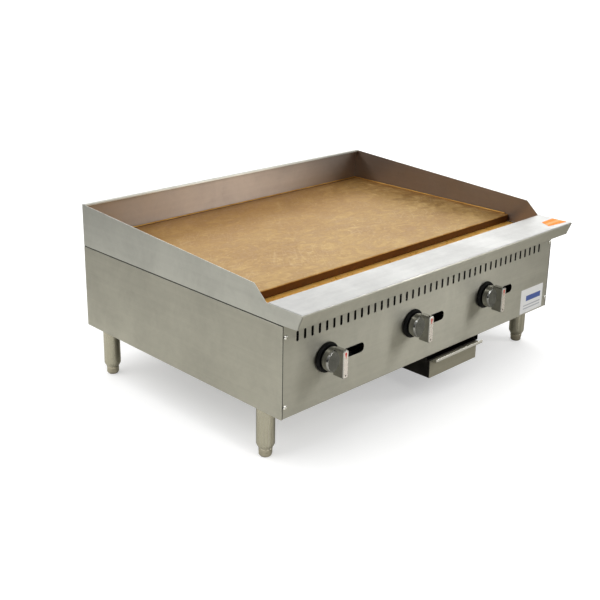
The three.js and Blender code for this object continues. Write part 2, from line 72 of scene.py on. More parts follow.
class GriddleSizes(bpy.types.PropertyGroup):
    """Sizes of the details that the CAD frame leaves to the finish."""

    sheet: FloatProperty(
        name="Sheet", description="Thickness of the stainless sheet", default=0.0015, unit="LENGTH"
    )
    bend_radius: FloatProperty(
        name="Bend radius", description="Inside radius of each fold", default=0.0012, unit="LENGTH"
    )
    cut_edge: FloatProperty(
        name="Cut edge", description="Rounding of a sheared or punched edge", default=0.0003, unit="LENGTH"
    )
    corner_radius: FloatProperty(
        name="Cabinet corner", description="Outside radius of the cabinet's upright folds", default=0.0022,
        unit="LENGTH",
    )
    plate_edge: FloatProperty(
        name="Plate edge", description="Rounding of the plate's edges", default=0.0018, unit="LENGTH"
    )
    bead: FloatProperty(
        name="Weld bead", description="Radius of the bead round the plate", default=0.0022, unit="LENGTH"
    )
    round_steps: IntProperty(
        name="Round steps", description="Flat steps in a full turn of a round piece", default=72, min=24
    )
    label_width: FloatProperty(
        name="Label width", description="Width of the front label", default=0.095, unit="LENGTH"
    )
    label_height: FloatProperty(
        name="Label height", description="Height of the front label", default=0.062, unit="LENGTH"
    )
    film: FloatProperty(
        name="Film", description="Thickness of the label and the sticker", default=0.0002, unit="LENGTH"
    )
    joint: FloatProperty(
        name="Joint", description="How far a sheet draws back from the joint beside it", default=0.0016,
        unit="LENGTH",
    )


class GriddleColours(bpy.types.PropertyGroup):
    """Base colours of the finishes."""

    cabinet_steel: FloatVectorProperty(
        name="Cabinet steel", description="Brushed stainless of the cabinet", subtype="COLOR",
        default=(0.55, 0.535, 0.455),
    )
    splash_steel: FloatVectorProperty(
        name="Splash steel", description="Brushed stainless of the splash guards", subtype="COLOR",
        default=(0.68, 0.68, 0.62),
    )
    ledge_steel: FloatVectorProperty(
        name="Ledge steel", description="Brushed stainless of the front ledge", subtype="COLOR",
        default=(0.70, 0.70, 0.68),
    )
    seasoning: FloatVectorProperty(
        name="Seasoning", description="Oil film on the griddle plate", subtype="COLOR",
        default=(0.43, 0.265, 0.085),
    )
    seasoning_dark: FloatVectorProperty(
        name="Dark seasoning", description="Where the oil film is thickest", subtype="COLOR",
        default=(0.30, 0.15, 0.035),
    )
    label_white: FloatVectorProperty(
        name="Label white", description="Printed label", subtype="COLOR", default=(0.80, 0.80, 0.80)
    )
    label_blue: FloatVectorProperty(
        name="Label blue", description="Bars on the label", subtype="COLOR", default=(0.05, 0.10, 0.34)
    )
    sticker: FloatVectorProperty(
        name="Sticker", description="Orange sticker on the ledge", subtype="COLOR",
        default=(0.80, 0.25, 0.022),
    )


class GriddleStudio(bpy.types.PropertyGroup):
    """The camera and the studio lights."""

    lens: FloatProperty(name="Lens", description="Focal length in millimetres", default=59.73)
    camera_place: FloatVectorProperty(
        name="Camera place", description="Where the camera stands", subtype="TRANSLATION",
        default=(-1.63441, -1.53612, 0.99434),
    )
    camera_turn: FloatVectorProperty(
        name="Camera turn", description="Pan to the right of +Y, tilt down and roll, in degrees",
        default=(44.717, 17.767, 0.943),
    )
    shift_y: FloatProperty(name="Shift", description="Upright shift of the lens", default=-0.0833)
    overhead: FloatProperty(
        name="Overhead", description="Broad light above, in watts per square metre", default=1.75
    )
    rear: FloatProperty(name="Rear", description="Softbox behind on the right, in watts", default=41.0)
    front: FloatProperty(
        name="Front", description="Strip light in front on the right, in watts", default=13.0
    )
    camera_strip: FloatProperty(
        name="Camera strip", description="Strip light beside the camera, in watts", default=12.0
    )
    ceiling: FloatProperty(name="Ceiling", description="Brightness of the room overhead", default=0.75)
    walls: FloatProperty(name="Walls", description="Brightness of the room at eye level", default=0.04)


# ---- outlines ----


def rounded(points, radii, steps=5, closed=True):
    """The outline with an arc of its own radius at each corner."""
    count = len(points)
    result = []
    for i, corner in enumerate(points):
        corner = Vector(corner)
        if not closed and i in (0, count - 1):
            result.append(tuple(corner))
            continue
        arriving = corner - Vector(points[i - 1])
        leaving = Vector(points[(i + 1) % count]) - corner
        room = 0.45 * min(arriving.length, leaving.length)
        arriving.normalize()
        leaving.normalize()
        turn = math.atan2(arriving.x * leaving.y - arriving.y * leaving.x, arriving.dot(leaving))
        radius = radii[i] if hasattr(radii, "__len__") else radii
        if abs(turn) < FLAT_ANGLE or radius <= 0:
            result.append(tuple(corner))
            continue
        reach = min(radius * math.tan(abs(turn) / 2), room)
        radius = reach / math.tan(abs(turn) / 2)
        start = corner - arriving * reach
        side = Vector((-arriving.y, arriving.x)) * math.copysign(radius, turn)
        centre = start + side
        for k in range(steps + 1):
            spin = Matrix.Rotation(turn * k / steps, 2)
            result.append(tuple(centre + spin @ -side))
    return result


def round_rectangle(width, height, radius, steps=6):
    """A rectangle round the origin with an arc at each corner."""
    w, h = width / 2, height / 2
    return rounded([(-w, -h), (w, -h), (w, h), (-w, h)], radius, steps)


def area_of(points):
    """The area of an outline, negative where it runs clockwise."""
    return sum(a[0] * b[1] - a[1] * b[0] for a, b in zip(points, points[1:] + points[:1])) / 2


# ---- solids ----


def extruded(points, low, high, axis):
    """A closed outline drawn out along X, Y or Z. The outline is (y, z), (x, z) or (x, y)."""
    place = {
        "X": lambda p, t: (t, p[0], p[1]),
        "Y": lambda p, t: (p[0], t, p[1]),
        "Z": lambda p, t: (p[0], p[1], t),
    }[axis]
    bm = bmesh.new()
    rings = [[bm.verts.new(place(p, t)) for p in points] for t in (low, high)]
    for i in range(len(points)):
        j = (i + 1) % len(points)
        bm.faces.new((rings[0][i], rings[0][j], rings[1][j], rings[1][i]))
    for ring in rings:
        bm.faces.new(ring)
    bmesh.ops.recalc_face_normals(bm, faces=bm.faces)
    return bm


def turned(profile, axis, steps, narrowed=None):
    """A round piece from (radius, height) pairs. narrowed may lower a radius at an angle and height."""
    bm = bmesh.new()
    rings = []
    for radius, height in profile:
        angles = [2 * math.pi * k / steps for k in range(steps)] if radius > 0 else [0.0]
        ring = []
        for angle in angles:
            r = narrowed(radius, angle, height) if narrowed else radius
            across, up = r * math.cos(angle), r * math.sin(angle)
            ring.append(bm.verts.new((across, up, height)))
        rings.append(ring)
    for a, b in zip(rings, rings[1:]):
        for k in range(steps):
            corners = [a[k % len(a)], a[(k + 1) % len(a)], b[(k + 1) % len(b)], b[k % len(b)]]
            corners = list(dict.fromkeys(corners))
            if len(corners) > 2:
                bm.faces.new(corners)
    if axis == "Y":
        bmesh.ops.rotate(bm, verts=bm.verts, matrix=Matrix.Rotation(math.pi / 2, 3, "X"))
    bmesh.ops.recalc_face_normals(bm, faces=bm.faces)
    return bm


def moved(bm, place):
    """The solid carried to a place."""
    bmesh.ops.translate(bm, verts=bm.verts, vec=place)
    return bm


def joined(*parts):
    """Several solids in one mesh."""
    whole = bmesh.new()
    for part in parts:
        mesh = bpy.data.meshes.new("part")
        part.to_mesh(mesh)
        part.free()
        whole.from_mesh(mesh)
        bpy.data.meshes.remove(mesh)
    return whole


def shape_of(node):
    """A CAD node's own shape, with its triangles joined back into flat faces."""
    bm = bmesh.new()
    bm.from_mesh(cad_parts[node].data)
    bmesh.ops.remove_doubles(bm, verts=bm.verts, dist=WELD_DISTANCE)
    bmesh.ops.dissolve_limit(bm, angle_limit=FLAT_ANGLE, verts=bm.verts, edges=bm.edges)
    return bm


def eased(bm, radius, steps=2, chosen=None):
    """Rounds the creases of a solid, or those that chosen picks."""
    creases = [
        edge
        for edge in bm.edges
        if len(edge.link_faces) == 2
        and edge.calc_face_angle() > CREASE
        and (chosen is None or chosen(edge))
    ]
    bmesh.ops.bevel(
        bm, geom=creases, offset=radius, segments=steps, profile=0.5, affect="EDGES", clamp_overlap=True
    )
    return bm


def drawn_back(bm, axis, at, distance):
    """The solid with its end at one coordinate moved by a distance."""
    for vert in bm.verts:
        if abs(vert.co[axis] - at) < TOUCHING:
            vert.co[axis] += distance
    return bm


def held_in(bm, node):
    """The solid with no point beyond the box of its node."""
    low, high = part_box(node)
    for vert in bm.verts:
        for axis in range(3):
            vert.co[axis] = min(max(vert.co[axis], low[axis]), high[axis])
    return bm


def cut_away(bm, cutter):
    """The solid with the closed shapes of cutter taken out."""
    pair = []
    for part in (bm, cutter):
        mesh = bpy.data.meshes.new("part")
        part.to_mesh(mesh)
        part.free()
        pair.append(bpy.data.objects.new("part", mesh))
        bpy.context.scene.collection.objects.link(pair[-1])
    cut = pair[0].modifiers.new("cut", "BOOLEAN")
    cut.operation = "DIFFERENCE"
    cut.solver = "EXACT"
    cut.object = pair[1]
    shaped = pair[0].evaluated_get(bpy.context.evaluated_depsgraph_get())
    result = bmesh.new()
    result.from_mesh(shaped.to_mesh())
    shaped.to_mesh_clear()
    for part in pair:
        mesh = part.data
        bpy.data.objects.remove(part)
        bpy.data.meshes.remove(mesh)
    bmesh.ops.dissolve_limit(result, angle_limit=FLAT_ANGLE, verts=result.verts, edges=result.edges)
    return result


def end_view(node):
    """The outline of a folded sheet seen from its left end, as (y, z) points."""
    bm = shape_of(node)
    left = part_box(node)[0].x
    ends = [face for face in bm.faces if all(abs(v.co.x - left) < TOUCHING for v in face.verts)]
    points = [(v.co.y, v.co.z) for v in max(ends, key=lambda face: face.calc_area()).verts]
    bm.free()
    if area_of(points) < 0:
        points.reverse()
    return points


def folded(node, sizes, bend_radius=None, sheet=None):
    """The folded sheet that a CAD node stands for, with round folds and eased edges."""
    points = end_view(node)
    sheet = sheet or sizes.sheet
    inside = bend_radius or sizes.bend_radius
    radii = []
    for i, corner in enumerate(points):
        before = Vector(corner) - Vector(points[i - 1])
        after = Vector(points[(i + 1) % len(points)]) - Vector(corner)
        outward = before.x * after.y - before.y * after.x > 0
        if min(before.length, after.length) < 1.3 * sheet:
            radii.append(sizes.cut_edge)
        else:
            radii.append(inside + sheet if outward else inside)
    low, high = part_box(node)
    return extruded(rounded(points, radii), low.x, high.x, "X")


def openings(node, axis, largest=0.25):
    """The centre and size of each opening that goes through a sheet along an axis (0 X, 1 Y, 2 Z)."""
    bm = shape_of(node)
    walls = {face for face in bm.faces if abs(face.normal[axis]) < 0.01}
    found = []
    while walls:
        group = {walls.pop()}
        waiting = list(group)
        while waiting:
            face = waiting.pop()
            near = {other for edge in face.edges for other in edge.link_faces} & walls
            walls -= near
            group |= near
            waiting.extend(near)
        points = [v.co for face in group for v in face.verts]
        low = Vector(map(min, zip(*points)))
        high = Vector(map(max, zip(*points)))
        if max(high - low) < largest:
            found.append(((low + high) / 2, high - low))
    bm.free()
    return found


def opening_cutter(centre, size, axis, corner=None):
    """A solid that cuts an opening with round corners, or with round ends where corner isn't given."""
    across, up = [i for i in range(3) if i != axis]
    width, height = size[across], size[up]
    outline = [
        (centre[across] + u, centre[up] + v)
        for u, v in round_rectangle(width, height, corner or min(width, height), 8)
    ]
    reach = max(size[axis], 0.001) * 2
    return extruded(outline, centre[axis] - reach, centre[axis] + reach, "XYZ"[axis])


# ---- pieces ----


def piece(name, bm, body, material, replaced=()):
    """Puts a finished mesh in the scene, on its body and in its material slot."""
    mesh = bpy.data.meshes.new(name)
    bm.to_mesh(mesh)
    bm.free()
    mesh.shade_smooth()
    mesh.set_sharp_from_angle(angle=CREASE)
    mesh.materials.append(material)
    made = bpy.data.objects.new(name, mesh)
    bpy.context.scene.collection.objects.link(made)
    level = made.modifiers.new("Level faces", "WEIGHTED_NORMAL")
    level.keep_sharp = True
    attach(made, body)
    if replaced:
        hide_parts(*replaced)
    return made


def shade_inside(made, material, axis, outward, sheet):
    """Gives the inner face of a sheet, its returns and the walls of its openings a near-black finish as
    painted shade.
    """
    margin = 4 * sheet
    made.data.materials.append(material)
    points = [v.co for v in made.data.vertices]
    low, high = (Vector(map(pick, zip(*points))) for pick in (min, max))
    across = [i for i in range(3) if i != axis]
    for face in made.data.polygons:
        depth = face.center[axis] - low[axis] if outward < 0 else high[axis] - face.center[axis]
        within = all(low[i] + margin < face.center[i] < high[i] - margin for i in across)
        if face.normal[axis] * outward < (0.5 if within else -0.5) or depth > sheet + 0.0001:
            face.material_index = 1


def dress(material, *nodes):
    """Gives CAD nodes that stay as they are their finish."""
    for node in nodes:
        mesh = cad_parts[node].data
        mesh.materials.clear()
        mesh.materials.append(material)


# ---- shader tools ----


def place(tree, kind, inputs=None, **settings):
    """A node with its settings, and with its inputs set to values or linked to outputs."""
    node = tree.nodes.new(kind)
    for name, value in settings.items():
        setattr(node, name, value)
    for name, value in (inputs or {}).items():
        feed(tree, node.inputs[name], value)
    return node


def feed(tree, socket, value):
    """Links an output to an input, or gives the input a value."""
    if isinstance(value, bpy.types.NodeSocket):
        tree.links.new(value, socket)
    else:
        socket.default_value = value


def colour(rgb):
    return (*rgb, 1.0)


def scaled(rgb, share):
    return tuple(channel * share for channel in rgb)


def mixed(tree, factor, a, b):
    """A colour between a and b."""
    node = place(tree, "ShaderNodeMix", data_type="RGBA")
    for index, value in ((0, factor), (6, a), (7, b)):
        feed(tree, node.inputs[index], value)
    return node.outputs[2]


def ranged(tree, value, low, high, to_low, to_high):
    """A value carried from one range to another, and held at its ends."""
    node = place(
        tree, "ShaderNodeMapRange",
        {"Value": value, "From Min": low, "From Max": high, "To Min": to_low, "To Max": to_high},
    )
    return node.outputs["Result"]


def counted(tree, operation, a, b=0.0):
    """The result of a sum of one or two values."""
    node = place(tree, "ShaderNodeMath", operation=operation)
    feed(tree, node.inputs[0], a)
    feed(tree, node.inputs[1], b)
    return node.outputs[0]


def own_place(tree):
    """Where a point lies in the frame, in metres."""
    return place(tree, "ShaderNodeTexCoord").outputs["Object"]


def stretched(tree, vector, stretch):
    """A place scaled along each axis, so that a pattern there runs long or short."""
    node = place(tree, "ShaderNodeVectorMath", operation="MULTIPLY")
    feed(tree, node.inputs[0], vector)
    feed(tree, node.inputs[1], stretch)
    return node.outputs[0]


def effect(name, inputs, outputs, build):
    """A shader node group with named inputs and outputs."""
    tree = bpy.data.node_groups.new(name, "ShaderNodeTree")
    kinds = {"value": "NodeSocketFloat", "vector": "NodeSocketVector"}
    for label, kind, default in inputs:
        socket = tree.interface.new_socket(label, in_out="INPUT", socket_type=kinds[kind])
        socket.default_value = default
    for label, kind in outputs:
        tree.interface.new_socket(label, in_out="OUTPUT", socket_type=kinds[kind])
    given = tree.nodes.new("NodeGroupInput").outputs
    made = tree.nodes.new("NodeGroupOutput").inputs
    for label, socket in build(tree, given).items():
        tree.links.new(socket, made[label])
    return tree


def placed(tree, name, **values):
    """The outputs of a shared effect, placed in a material with its own values."""
    node = place(tree, "ShaderNodeGroup", node_tree=bpy.data.node_groups[name])
    for label, value in values.items():
        feed(tree, node.inputs[label.replace("_", " ")], value)
    return node.outputs


# ---- shared effects ----


def brushed_grain():
    """Long fine lines left by the polishing belt, and the broader streaks among them."""

    def build(tree, given):
        at = stretched(tree, own_place(tree), given["Stretch"])
        fine = place(tree, "ShaderNodeTexNoise", {"Vector": at, "Scale": 1.0, "Detail": 3.0})
        wide = stretched(tree, at, (0.11, 0.11, 0.11))
        streaks = place(tree, "ShaderNodeTexNoise", {"Vector": wide, "Scale": 1.0, "Detail": 4.0})
        return {
            "Lines": fine.outputs[0],
            "Streaks": ranged(tree, streaks.outputs[0], 0.3, 0.7, 0.0, 1.0),
        }

    effect(
        "Brushed grain",
        [("Stretch", "vector", (8.0, 900.0, 900.0))],
        [("Lines", "value"), ("Streaks", "value")],
        build,
    )


def smudges():
    """Cloudy patches of handling marks and wiped cleaner."""

    def build(tree, given):
        at = own_place(tree)
        broad = place(
            tree, "ShaderNodeTexNoise",
            {"Vector": at, "Scale": given["Scale"], "Detail": 5.0, "Roughness": 0.6, "Distortion": 0.8},
        )
        small_scale = counted(tree, "MULTIPLY", given["Scale"], 6.0)
        small = place(
            tree, "ShaderNodeTexNoise",
            {"Vector": at, "Scale": small_scale, "Detail": 4.0, "Distortion": 1.5},
        )
        both = counted(tree, "ADD", broad.outputs[0], counted(tree, "MULTIPLY", small.outputs[0], 0.35))
        return {"Mask": ranged(tree, both, 0.55, 0.85, 0.0, 1.0)}

    effect("Smudges", [("Scale", "value", 6.0)], [("Mask", "value")], build)


def edge_wear_and_glint():
    """A mask along creases, where handling rubs the surface. The finishes also lighten these creases as
    painted edge highlights.
    """

    def build(tree, given):
        soft = place(tree, "ShaderNodeBevel", {"Radius": given["Radius"]}, samples=4)
        plain = place(tree, "ShaderNodeNewGeometry")
        dot = place(tree, "ShaderNodeVectorMath", operation="DOT_PRODUCT")
        feed(tree, dot.inputs[0], soft.outputs[0])
        feed(tree, dot.inputs[1], plain.outputs["Normal"])
        edge = ranged(tree, dot.outputs["Value"], 0.995, 0.90, 0.0, 1.0)
        chips = place(tree, "ShaderNodeTexNoise", {"Vector": own_place(tree), "Scale": given["Scale"]})
        broken = ranged(tree, chips.outputs[0], 0.35, 0.6, 0.2, 1.0)
        return {"Mask": counted(tree, "MULTIPLY", edge, broken)}

    effect(
        "Edge wear and glint",
        [("Radius", "value", 0.0015), ("Scale", "value", 180.0)],
        [("Mask", "value")],
        build,
    )


def scratches():
    """Thin straight marks that lie mostly one way."""

    def build(tree, given):
        turn = place(tree, "ShaderNodeVectorRotate", {"Vector": own_place(tree)}, rotation_type="Z_AXIS")
        feed(tree, turn.inputs["Angle"], given["Angle"])
        at = stretched(tree, turn.outputs[0], given["Stretch"])
        cells = place(
            tree, "ShaderNodeTexVoronoi", {"Vector": at, "Scale": 1.0, "Randomness": 1.0},
            feature="DISTANCE_TO_EDGE",
        )
        line = ranged(tree, cells.outputs["Distance"], 0.0, 0.035, 1.0, 0.0)
        patch = place(tree, "ShaderNodeTexNoise", {"Vector": own_place(tree), "Scale": 9.0, "Detail": 3.0})
        shown = ranged(tree, patch.outputs[0], 0.45, 0.65, 0.0, 1.0)
        return {"Mask": counted(tree, "MULTIPLY", line, shown)}

    effect(
        "Scratches",
        [("Angle", "value", 0.0), ("Stretch", "vector", (6.0, 90.0, 6.0))],
        [("Mask", "value")],
        build,
    )


def speckle():
    """Fine grain of a cast, moulded or scaled surface."""

    def build(tree, given):
        at = own_place(tree)
        grain = place(tree, "ShaderNodeTexNoise", {"Vector": at, "Scale": given["Scale"], "Detail": 6.0})
        cloud_scale = counted(tree, "MULTIPLY", given["Scale"], 0.06)
        cloud = place(tree, "ShaderNodeTexNoise", {"Vector": at, "Scale": cloud_scale, "Detail": 4.0})
        return {"Grain": grain.outputs[0], "Cloud": ranged(tree, cloud.outputs[0], 0.3, 0.7, 0.0, 1.0)}

    effect("Speckle", [("Scale", "value", 300.0)], [("Grain", "value"), ("Cloud", "value")], build)


# ---- finishes ----


def finish(name, build, **sockets):
    """A material with one shader. build gives what varies, and sockets what is the same all over."""
    material = bpy.data.materials.new(name)
    material.use_nodes = True
    tree = material.node_tree
    shader = tree.nodes["Principled BSDF"]
    for label, value in sockets.items():
        shader.inputs[label.replace("_", " ")].default_value = value
    for label, value in build(tree).items():
        feed(tree, shader.inputs[label], value)
    return material


def bump(tree, height, strength, distance):
    """A normal that follows a fine relief."""
    node = place(tree, "ShaderNodeBump", {"Height": height, "Strength": strength, "Distance": distance})
    return node.outputs[0]


GRAIN_ALONG = {
    "X": {"stretch": (7.0, 900.0, 900.0), "spread": (0.0, 1.0, 1.0)},
    "Y": {"stretch": (900.0, 7.0, 900.0), "spread": (1.0, 0.0, 1.0)},
    "Z": {"stretch": (420.0, 420.0, 5.0), "spread": (0.0, 0.0, 1.0)},
}


def brushed_steel(name, tone, along, roughness):
    """Stainless steel, polished with a belt along X, Y or Z."""
    grain_way = GRAIN_ALONG[along]

    def build(tree):
        grain = placed(tree, "Brushed grain", Stretch=grain_way["stretch"])
        smudge = placed(tree, "Smudges", Scale=5.0)["Mask"]
        edge = placed(tree, "Edge wear and glint", Radius=0.0012, Scale=140.0)["Mask"]
        base = mixed(tree, grain["Streaks"], colour(scaled(tone, 0.94)), colour(tone))
        wiped = placed(tree, "Smudges", Scale=8.5)["Mask"]
        base = mixed(tree, counted(tree, "MULTIPLY", smudge, 0.24), base, colour(scaled(tone, 0.72)))
        base = mixed(tree, counted(tree, "MULTIPLY", wiped, 0.30), base, colour(scaled(tone, 1.22)))
        # Lighter creases: partly rubbed wear, partly painted edge highlight.
        base = mixed(tree, counted(tree, "MULTIPLY", edge, 0.5), base, colour((0.72, 0.71, 0.68)))
        rough = counted(
            tree, "ADD",
            ranged(tree, grain["Lines"], 0.3, 0.7, roughness - 0.05, roughness + 0.05),
            counted(tree, "MULTIPLY", smudge, 0.08),
        )
        spread = place(tree, "ShaderNodeCombineXYZ", dict(zip("XYZ", grain_way["spread"])))
        return {
            "Base Color": base,
            "Roughness": rough,
            "Normal": bump(tree, grain["Lines"], 0.12, 0.0001),
            "Tangent": spread.outputs[0],
        }

    return finish(name, build, Metallic=1.0, Anisotropic=0.85)


def seasoned_steel(name, light, dark, roughness, border=None, metallic=0.8):
    """Plate steel under a thin film of baked oil: tan, with darker pools, pale flecks and spatula marks.

    border is the plate's box. With it the plate is darker within 3 cm of its sides and back, and gets
    painted shade towards the back, on its front and side faces below the top, and in a band along its back
    edge.
    """

    def build(tree):
        at = own_place(tree)
        pools = placed(tree, "Smudges", Scale=4.0)["Mask"]
        cloud = placed(tree, "Speckle", Scale=110.0)
        smeared = stretched(tree, at, (24.0, 40.0, 40.0))
        smears = place(
            tree, "ShaderNodeTexNoise",
            {"Vector": smeared, "Scale": 1.0, "Detail": 5.0, "Roughness": 0.62, "Distortion": 1.2},
        ).outputs[0]
        rubbed = placed(tree, "Scratches", Angle=0.35, Stretch=(9.0, 60.0, 9.0))["Mask"]
        across = placed(tree, "Scratches", Angle=-0.9, Stretch=(9.0, 75.0, 9.0))["Mask"]
        base = mixed(tree, counted(tree, "MULTIPLY", pools, 0.55), colour(light), colour(dark))
        tan = ranged(tree, smears, 0.48, 0.70, 0.0, 0.48)
        base = mixed(tree, tan, base, colour((0.68, 0.49, 0.22)))
        brown = ranged(tree, smears, 0.50, 0.28, 0.0, 0.42)
        base = mixed(tree, brown, base, colour(dark))
        pale = counted(tree, "MULTIPLY", ranged(tree, cloud["Grain"], 0.60, 0.70, 0.0, 1.0), 0.28)
        base = mixed(tree, pale, base, colour((0.88, 0.74, 0.50)))
        marks = counted(tree, "MAXIMUM", rubbed, across)
        base = mixed(tree, counted(tree, "MULTIPLY", marks, 0.22), base, colour((0.84, 0.68, 0.44)))
        if border:
            low, high = border
            split = place(tree, "ShaderNodeSeparateXYZ", {"Vector": at}).outputs
            # Painted shade that deepens towards the back, where the splash guards shade the plate.
            rear = ranged(tree, split["Y"], low.y + 0.20, high.y, 0.0, 0.55)
            base = mixed(tree, rear, base, colour((0.40, 0.20, 0.045)))
            # Darker within 3 cm of the sides and the back.
            side = counted(tree, "ABSOLUTE", split["X"])
            edge = counted(
                tree, "MAXIMUM",
                ranged(tree, side, high.x - 0.03, high.x, 0.0, 0.6),
                ranged(tree, split["Y"], high.y - 0.03, high.y, 0.0, 0.7),
            )
            base = mixed(tree, edge, base, colour((0.30, 0.13, 0.02)))
            # Painted shade on the front and side faces below the top, and a painted shadow band along the
            # back edge.
            painted_shade_bands = counted(
                tree, "MAXIMUM",
                ranged(tree, split["Y"], high.y - 0.010, high.y - 0.0075, 0.0, 0.85),
                ranged(tree, split["Z"], high.z - 0.0015, high.z - 0.003, 0.0, 0.93),
            )
            base = mixed(tree, painted_shade_bands, base, colour((0.06, 0.02, 0.004)))
        rough = counted(
            tree, "ADD",
            ranged(tree, cloud["Grain"], 0.3, 0.7, roughness - 0.08, roughness + 0.08),
            ranged(tree, smears, 0.35, 0.65, -0.06, 0.08),
        )
        height = counted(tree, "SUBTRACT", cloud["Grain"], counted(tree, "MULTIPLY", marks, 0.5))
        return {"Base Color": base, "Roughness": rough, "Normal": bump(tree, height, 0.25, 0.0003)}

    return finish(name, build, Metallic=metallic)


def plain_metal(
    name, light, dark, roughness, scale=300.0, metallic=1.0, relief=0.2, edge_tone=None, edge_reach=0.0012
):
    """Bare, plated or blackened metal with cloudy tone, fine grain and lighter edges that are partly
    rubbed wear and partly painted highlight.
    """

    def build(tree):
        grain = placed(tree, "Speckle", Scale=scale)
        edge = placed(tree, "Edge wear and glint", Radius=edge_reach, Scale=150.0)["Mask"]
        base = mixed(tree, grain["Cloud"], colour(dark), colour(light))
        # Lighter creases: partly rubbed wear, partly painted edge highlight.
        edge_wear_and_glint_colour = colour(edge_tone or scaled(light, 1.4))
        base = mixed(tree, counted(tree, "MULTIPLY", edge, 0.6), base, edge_wear_and_glint_colour)
        rough = ranged(tree, grain["Grain"], 0.3, 0.7, roughness * 0.8, roughness * 1.2)
        normal = bump(tree, grain["Grain"], relief, 0.0002)
        return {"Base Color": base, "Roughness": rough, "Normal": normal}

    return finish(name, build, Metallic=metallic)


def moulded_plastic(name, tone, roughness, **sockets):
    """Hard plastic with a fine moulded grain and a little handling shine."""

    def build(tree):
        grain = placed(tree, "Speckle", Scale=700.0)
        smudge = placed(tree, "Smudges", Scale=30.0)["Mask"]
        edge = placed(tree, "Edge wear and glint", Radius=0.001, Scale=200.0)["Mask"]
        base = mixed(tree, grain["Cloud"], colour(scaled(tone, 0.8)), colour(tone))
        # Lighter creases: partly rubbed wear, partly painted edge highlight.
        base = mixed(tree, counted(tree, "MULTIPLY", edge, 0.4), base, colour(scaled(tone, 3.0)))
        rough = ranged(tree, grain["Grain"], 0.3, 0.7, roughness, roughness + 0.1)
        rough = counted(tree, "SUBTRACT", rough, counted(tree, "MULTIPLY", smudge, 0.1))
        normal = bump(tree, grain["Grain"], 0.15, 0.0001)
        return {"Base Color": base, "Roughness": rough, "Normal": normal}

    return finish(name, build, **sockets)


def between(tree, value, low, high):
    """A mask that is one where a value lies between two others."""
    above = counted(tree, "GREATER_THAN", value, low)
    return counted(tree, "MULTIPLY", above, counted(tree, "LESS_THAN", value, high))


def bar(tree, at, left, right, low, high):
    """A mask of a plain bar in X and Z."""
    split = place(tree, "ShaderNodeSeparateXYZ", {"Vector": at}).outputs
    return counted(
        tree, "MULTIPLY", between(tree, split["X"], left, right), between(tree, split["Z"], low, high)
    )


def printed_label(name, white, ink, centre, sizes):
    """White film with a plain broad bar and thin rules, and no words."""
    w, h = sizes.label_width, sizes.label_height

    def build(tree):
        at = own_place(tree)
        x, z = centre.x, centre.z
        broad = bar(tree, at, x - 0.26 * w, x + 0.40 * w, z - 0.02 * h, z + 0.20 * h)
        upper, lower = (
            bar(tree, at, x - 0.36 * w, x + 0.40 * w, z - (down + 0.05) * h, z - down * h)
            for down in (0.17, 0.29)
        )
        rules = counted(tree, "MAXIMUM", upper, lower)
        dust = placed(tree, "Smudges", Scale=60.0)["Mask"]
        dusty = counted(tree, "MULTIPLY", dust, 0.12)
        base = mixed(tree, dusty, colour(white), colour(scaled(white, 0.8)))
        base = mixed(tree, broad, base, colour(ink))
        base = mixed(tree, counted(tree, "MULTIPLY", rules, 0.6), base, colour((0.22, 0.24, 0.30)))
        rough = ranged(tree, dust, 0.0, 1.0, 0.32, 0.5)
        return {"Base Color": base, "Roughness": rough}

    return finish(name, build)


def printed_sticker(name, tone, centre):
    """Orange film with a paler band."""

    def build(tree):
        split = place(tree, "ShaderNodeSeparateXYZ", {"Vector": own_place(tree)}).outputs
        band = between(tree, split["Y"], centre.y - 0.004, centre.y + 0.005)
        dust = placed(tree, "Smudges", Scale=70.0)["Mask"]
        base = mixed(tree, counted(tree, "MULTIPLY", dust, 0.3), colour(tone), colour(scaled(tone, 0.75)))
        base = mixed(tree, counted(tree, "MULTIPLY", band, 0.45), base, colour((0.84, 0.52, 0.26)))
        return {"Base Color": base, "Roughness": ranged(tree, dust, 0.0, 1.0, 0.5, 0.65)}

    return finish(name, build, Specular_IOR_Level=0.2)


def floor_paper():
    """White paper. The steel sees it darker to the right and far off, as if flags stood round the set."""

    def build(tree):
        at = own_place(tree)
        cloud = placed(tree, "Smudges", Scale=1.5)["Mask"]
        paper = mixed(tree, cloud, colour((0.66, 0.66, 0.66)), colour((0.64, 0.64, 0.64)))
        across = place(tree, "ShaderNodeSeparateXYZ", {"Vector": at}).outputs["X"]
        side = ranged(tree, across, -0.6, 0.9, 0.0, 1.0)
        flagged = mixed(tree, side, colour((0.74, 0.73, 0.68)), colour((0.26, 0.25, 0.21)))
        reach = place(tree, "ShaderNodeVectorMath", {"Vector": at}, operation="LENGTH").outputs["Value"]
        far = ranged(tree, reach, 1.2, 2.2, 0.0, 1.0)
        flagged = mixed(tree, far, flagged, colour((0.05, 0.05, 0.05)))
        seen = place(tree, "ShaderNodeLightPath").outputs["Is Camera Ray"]
        glow = mixed(tree, seen, colour((0.0, 0.0, 0.0)), colour((1.0, 1.0, 1.0)))
        return {"Base Color": mixed(tree, seen, flagged, paper), "Emission Color": glow}

    return finish("Floor paper", build, Roughness=0.8, Emission_Strength=0.42)


# ---- operators ----


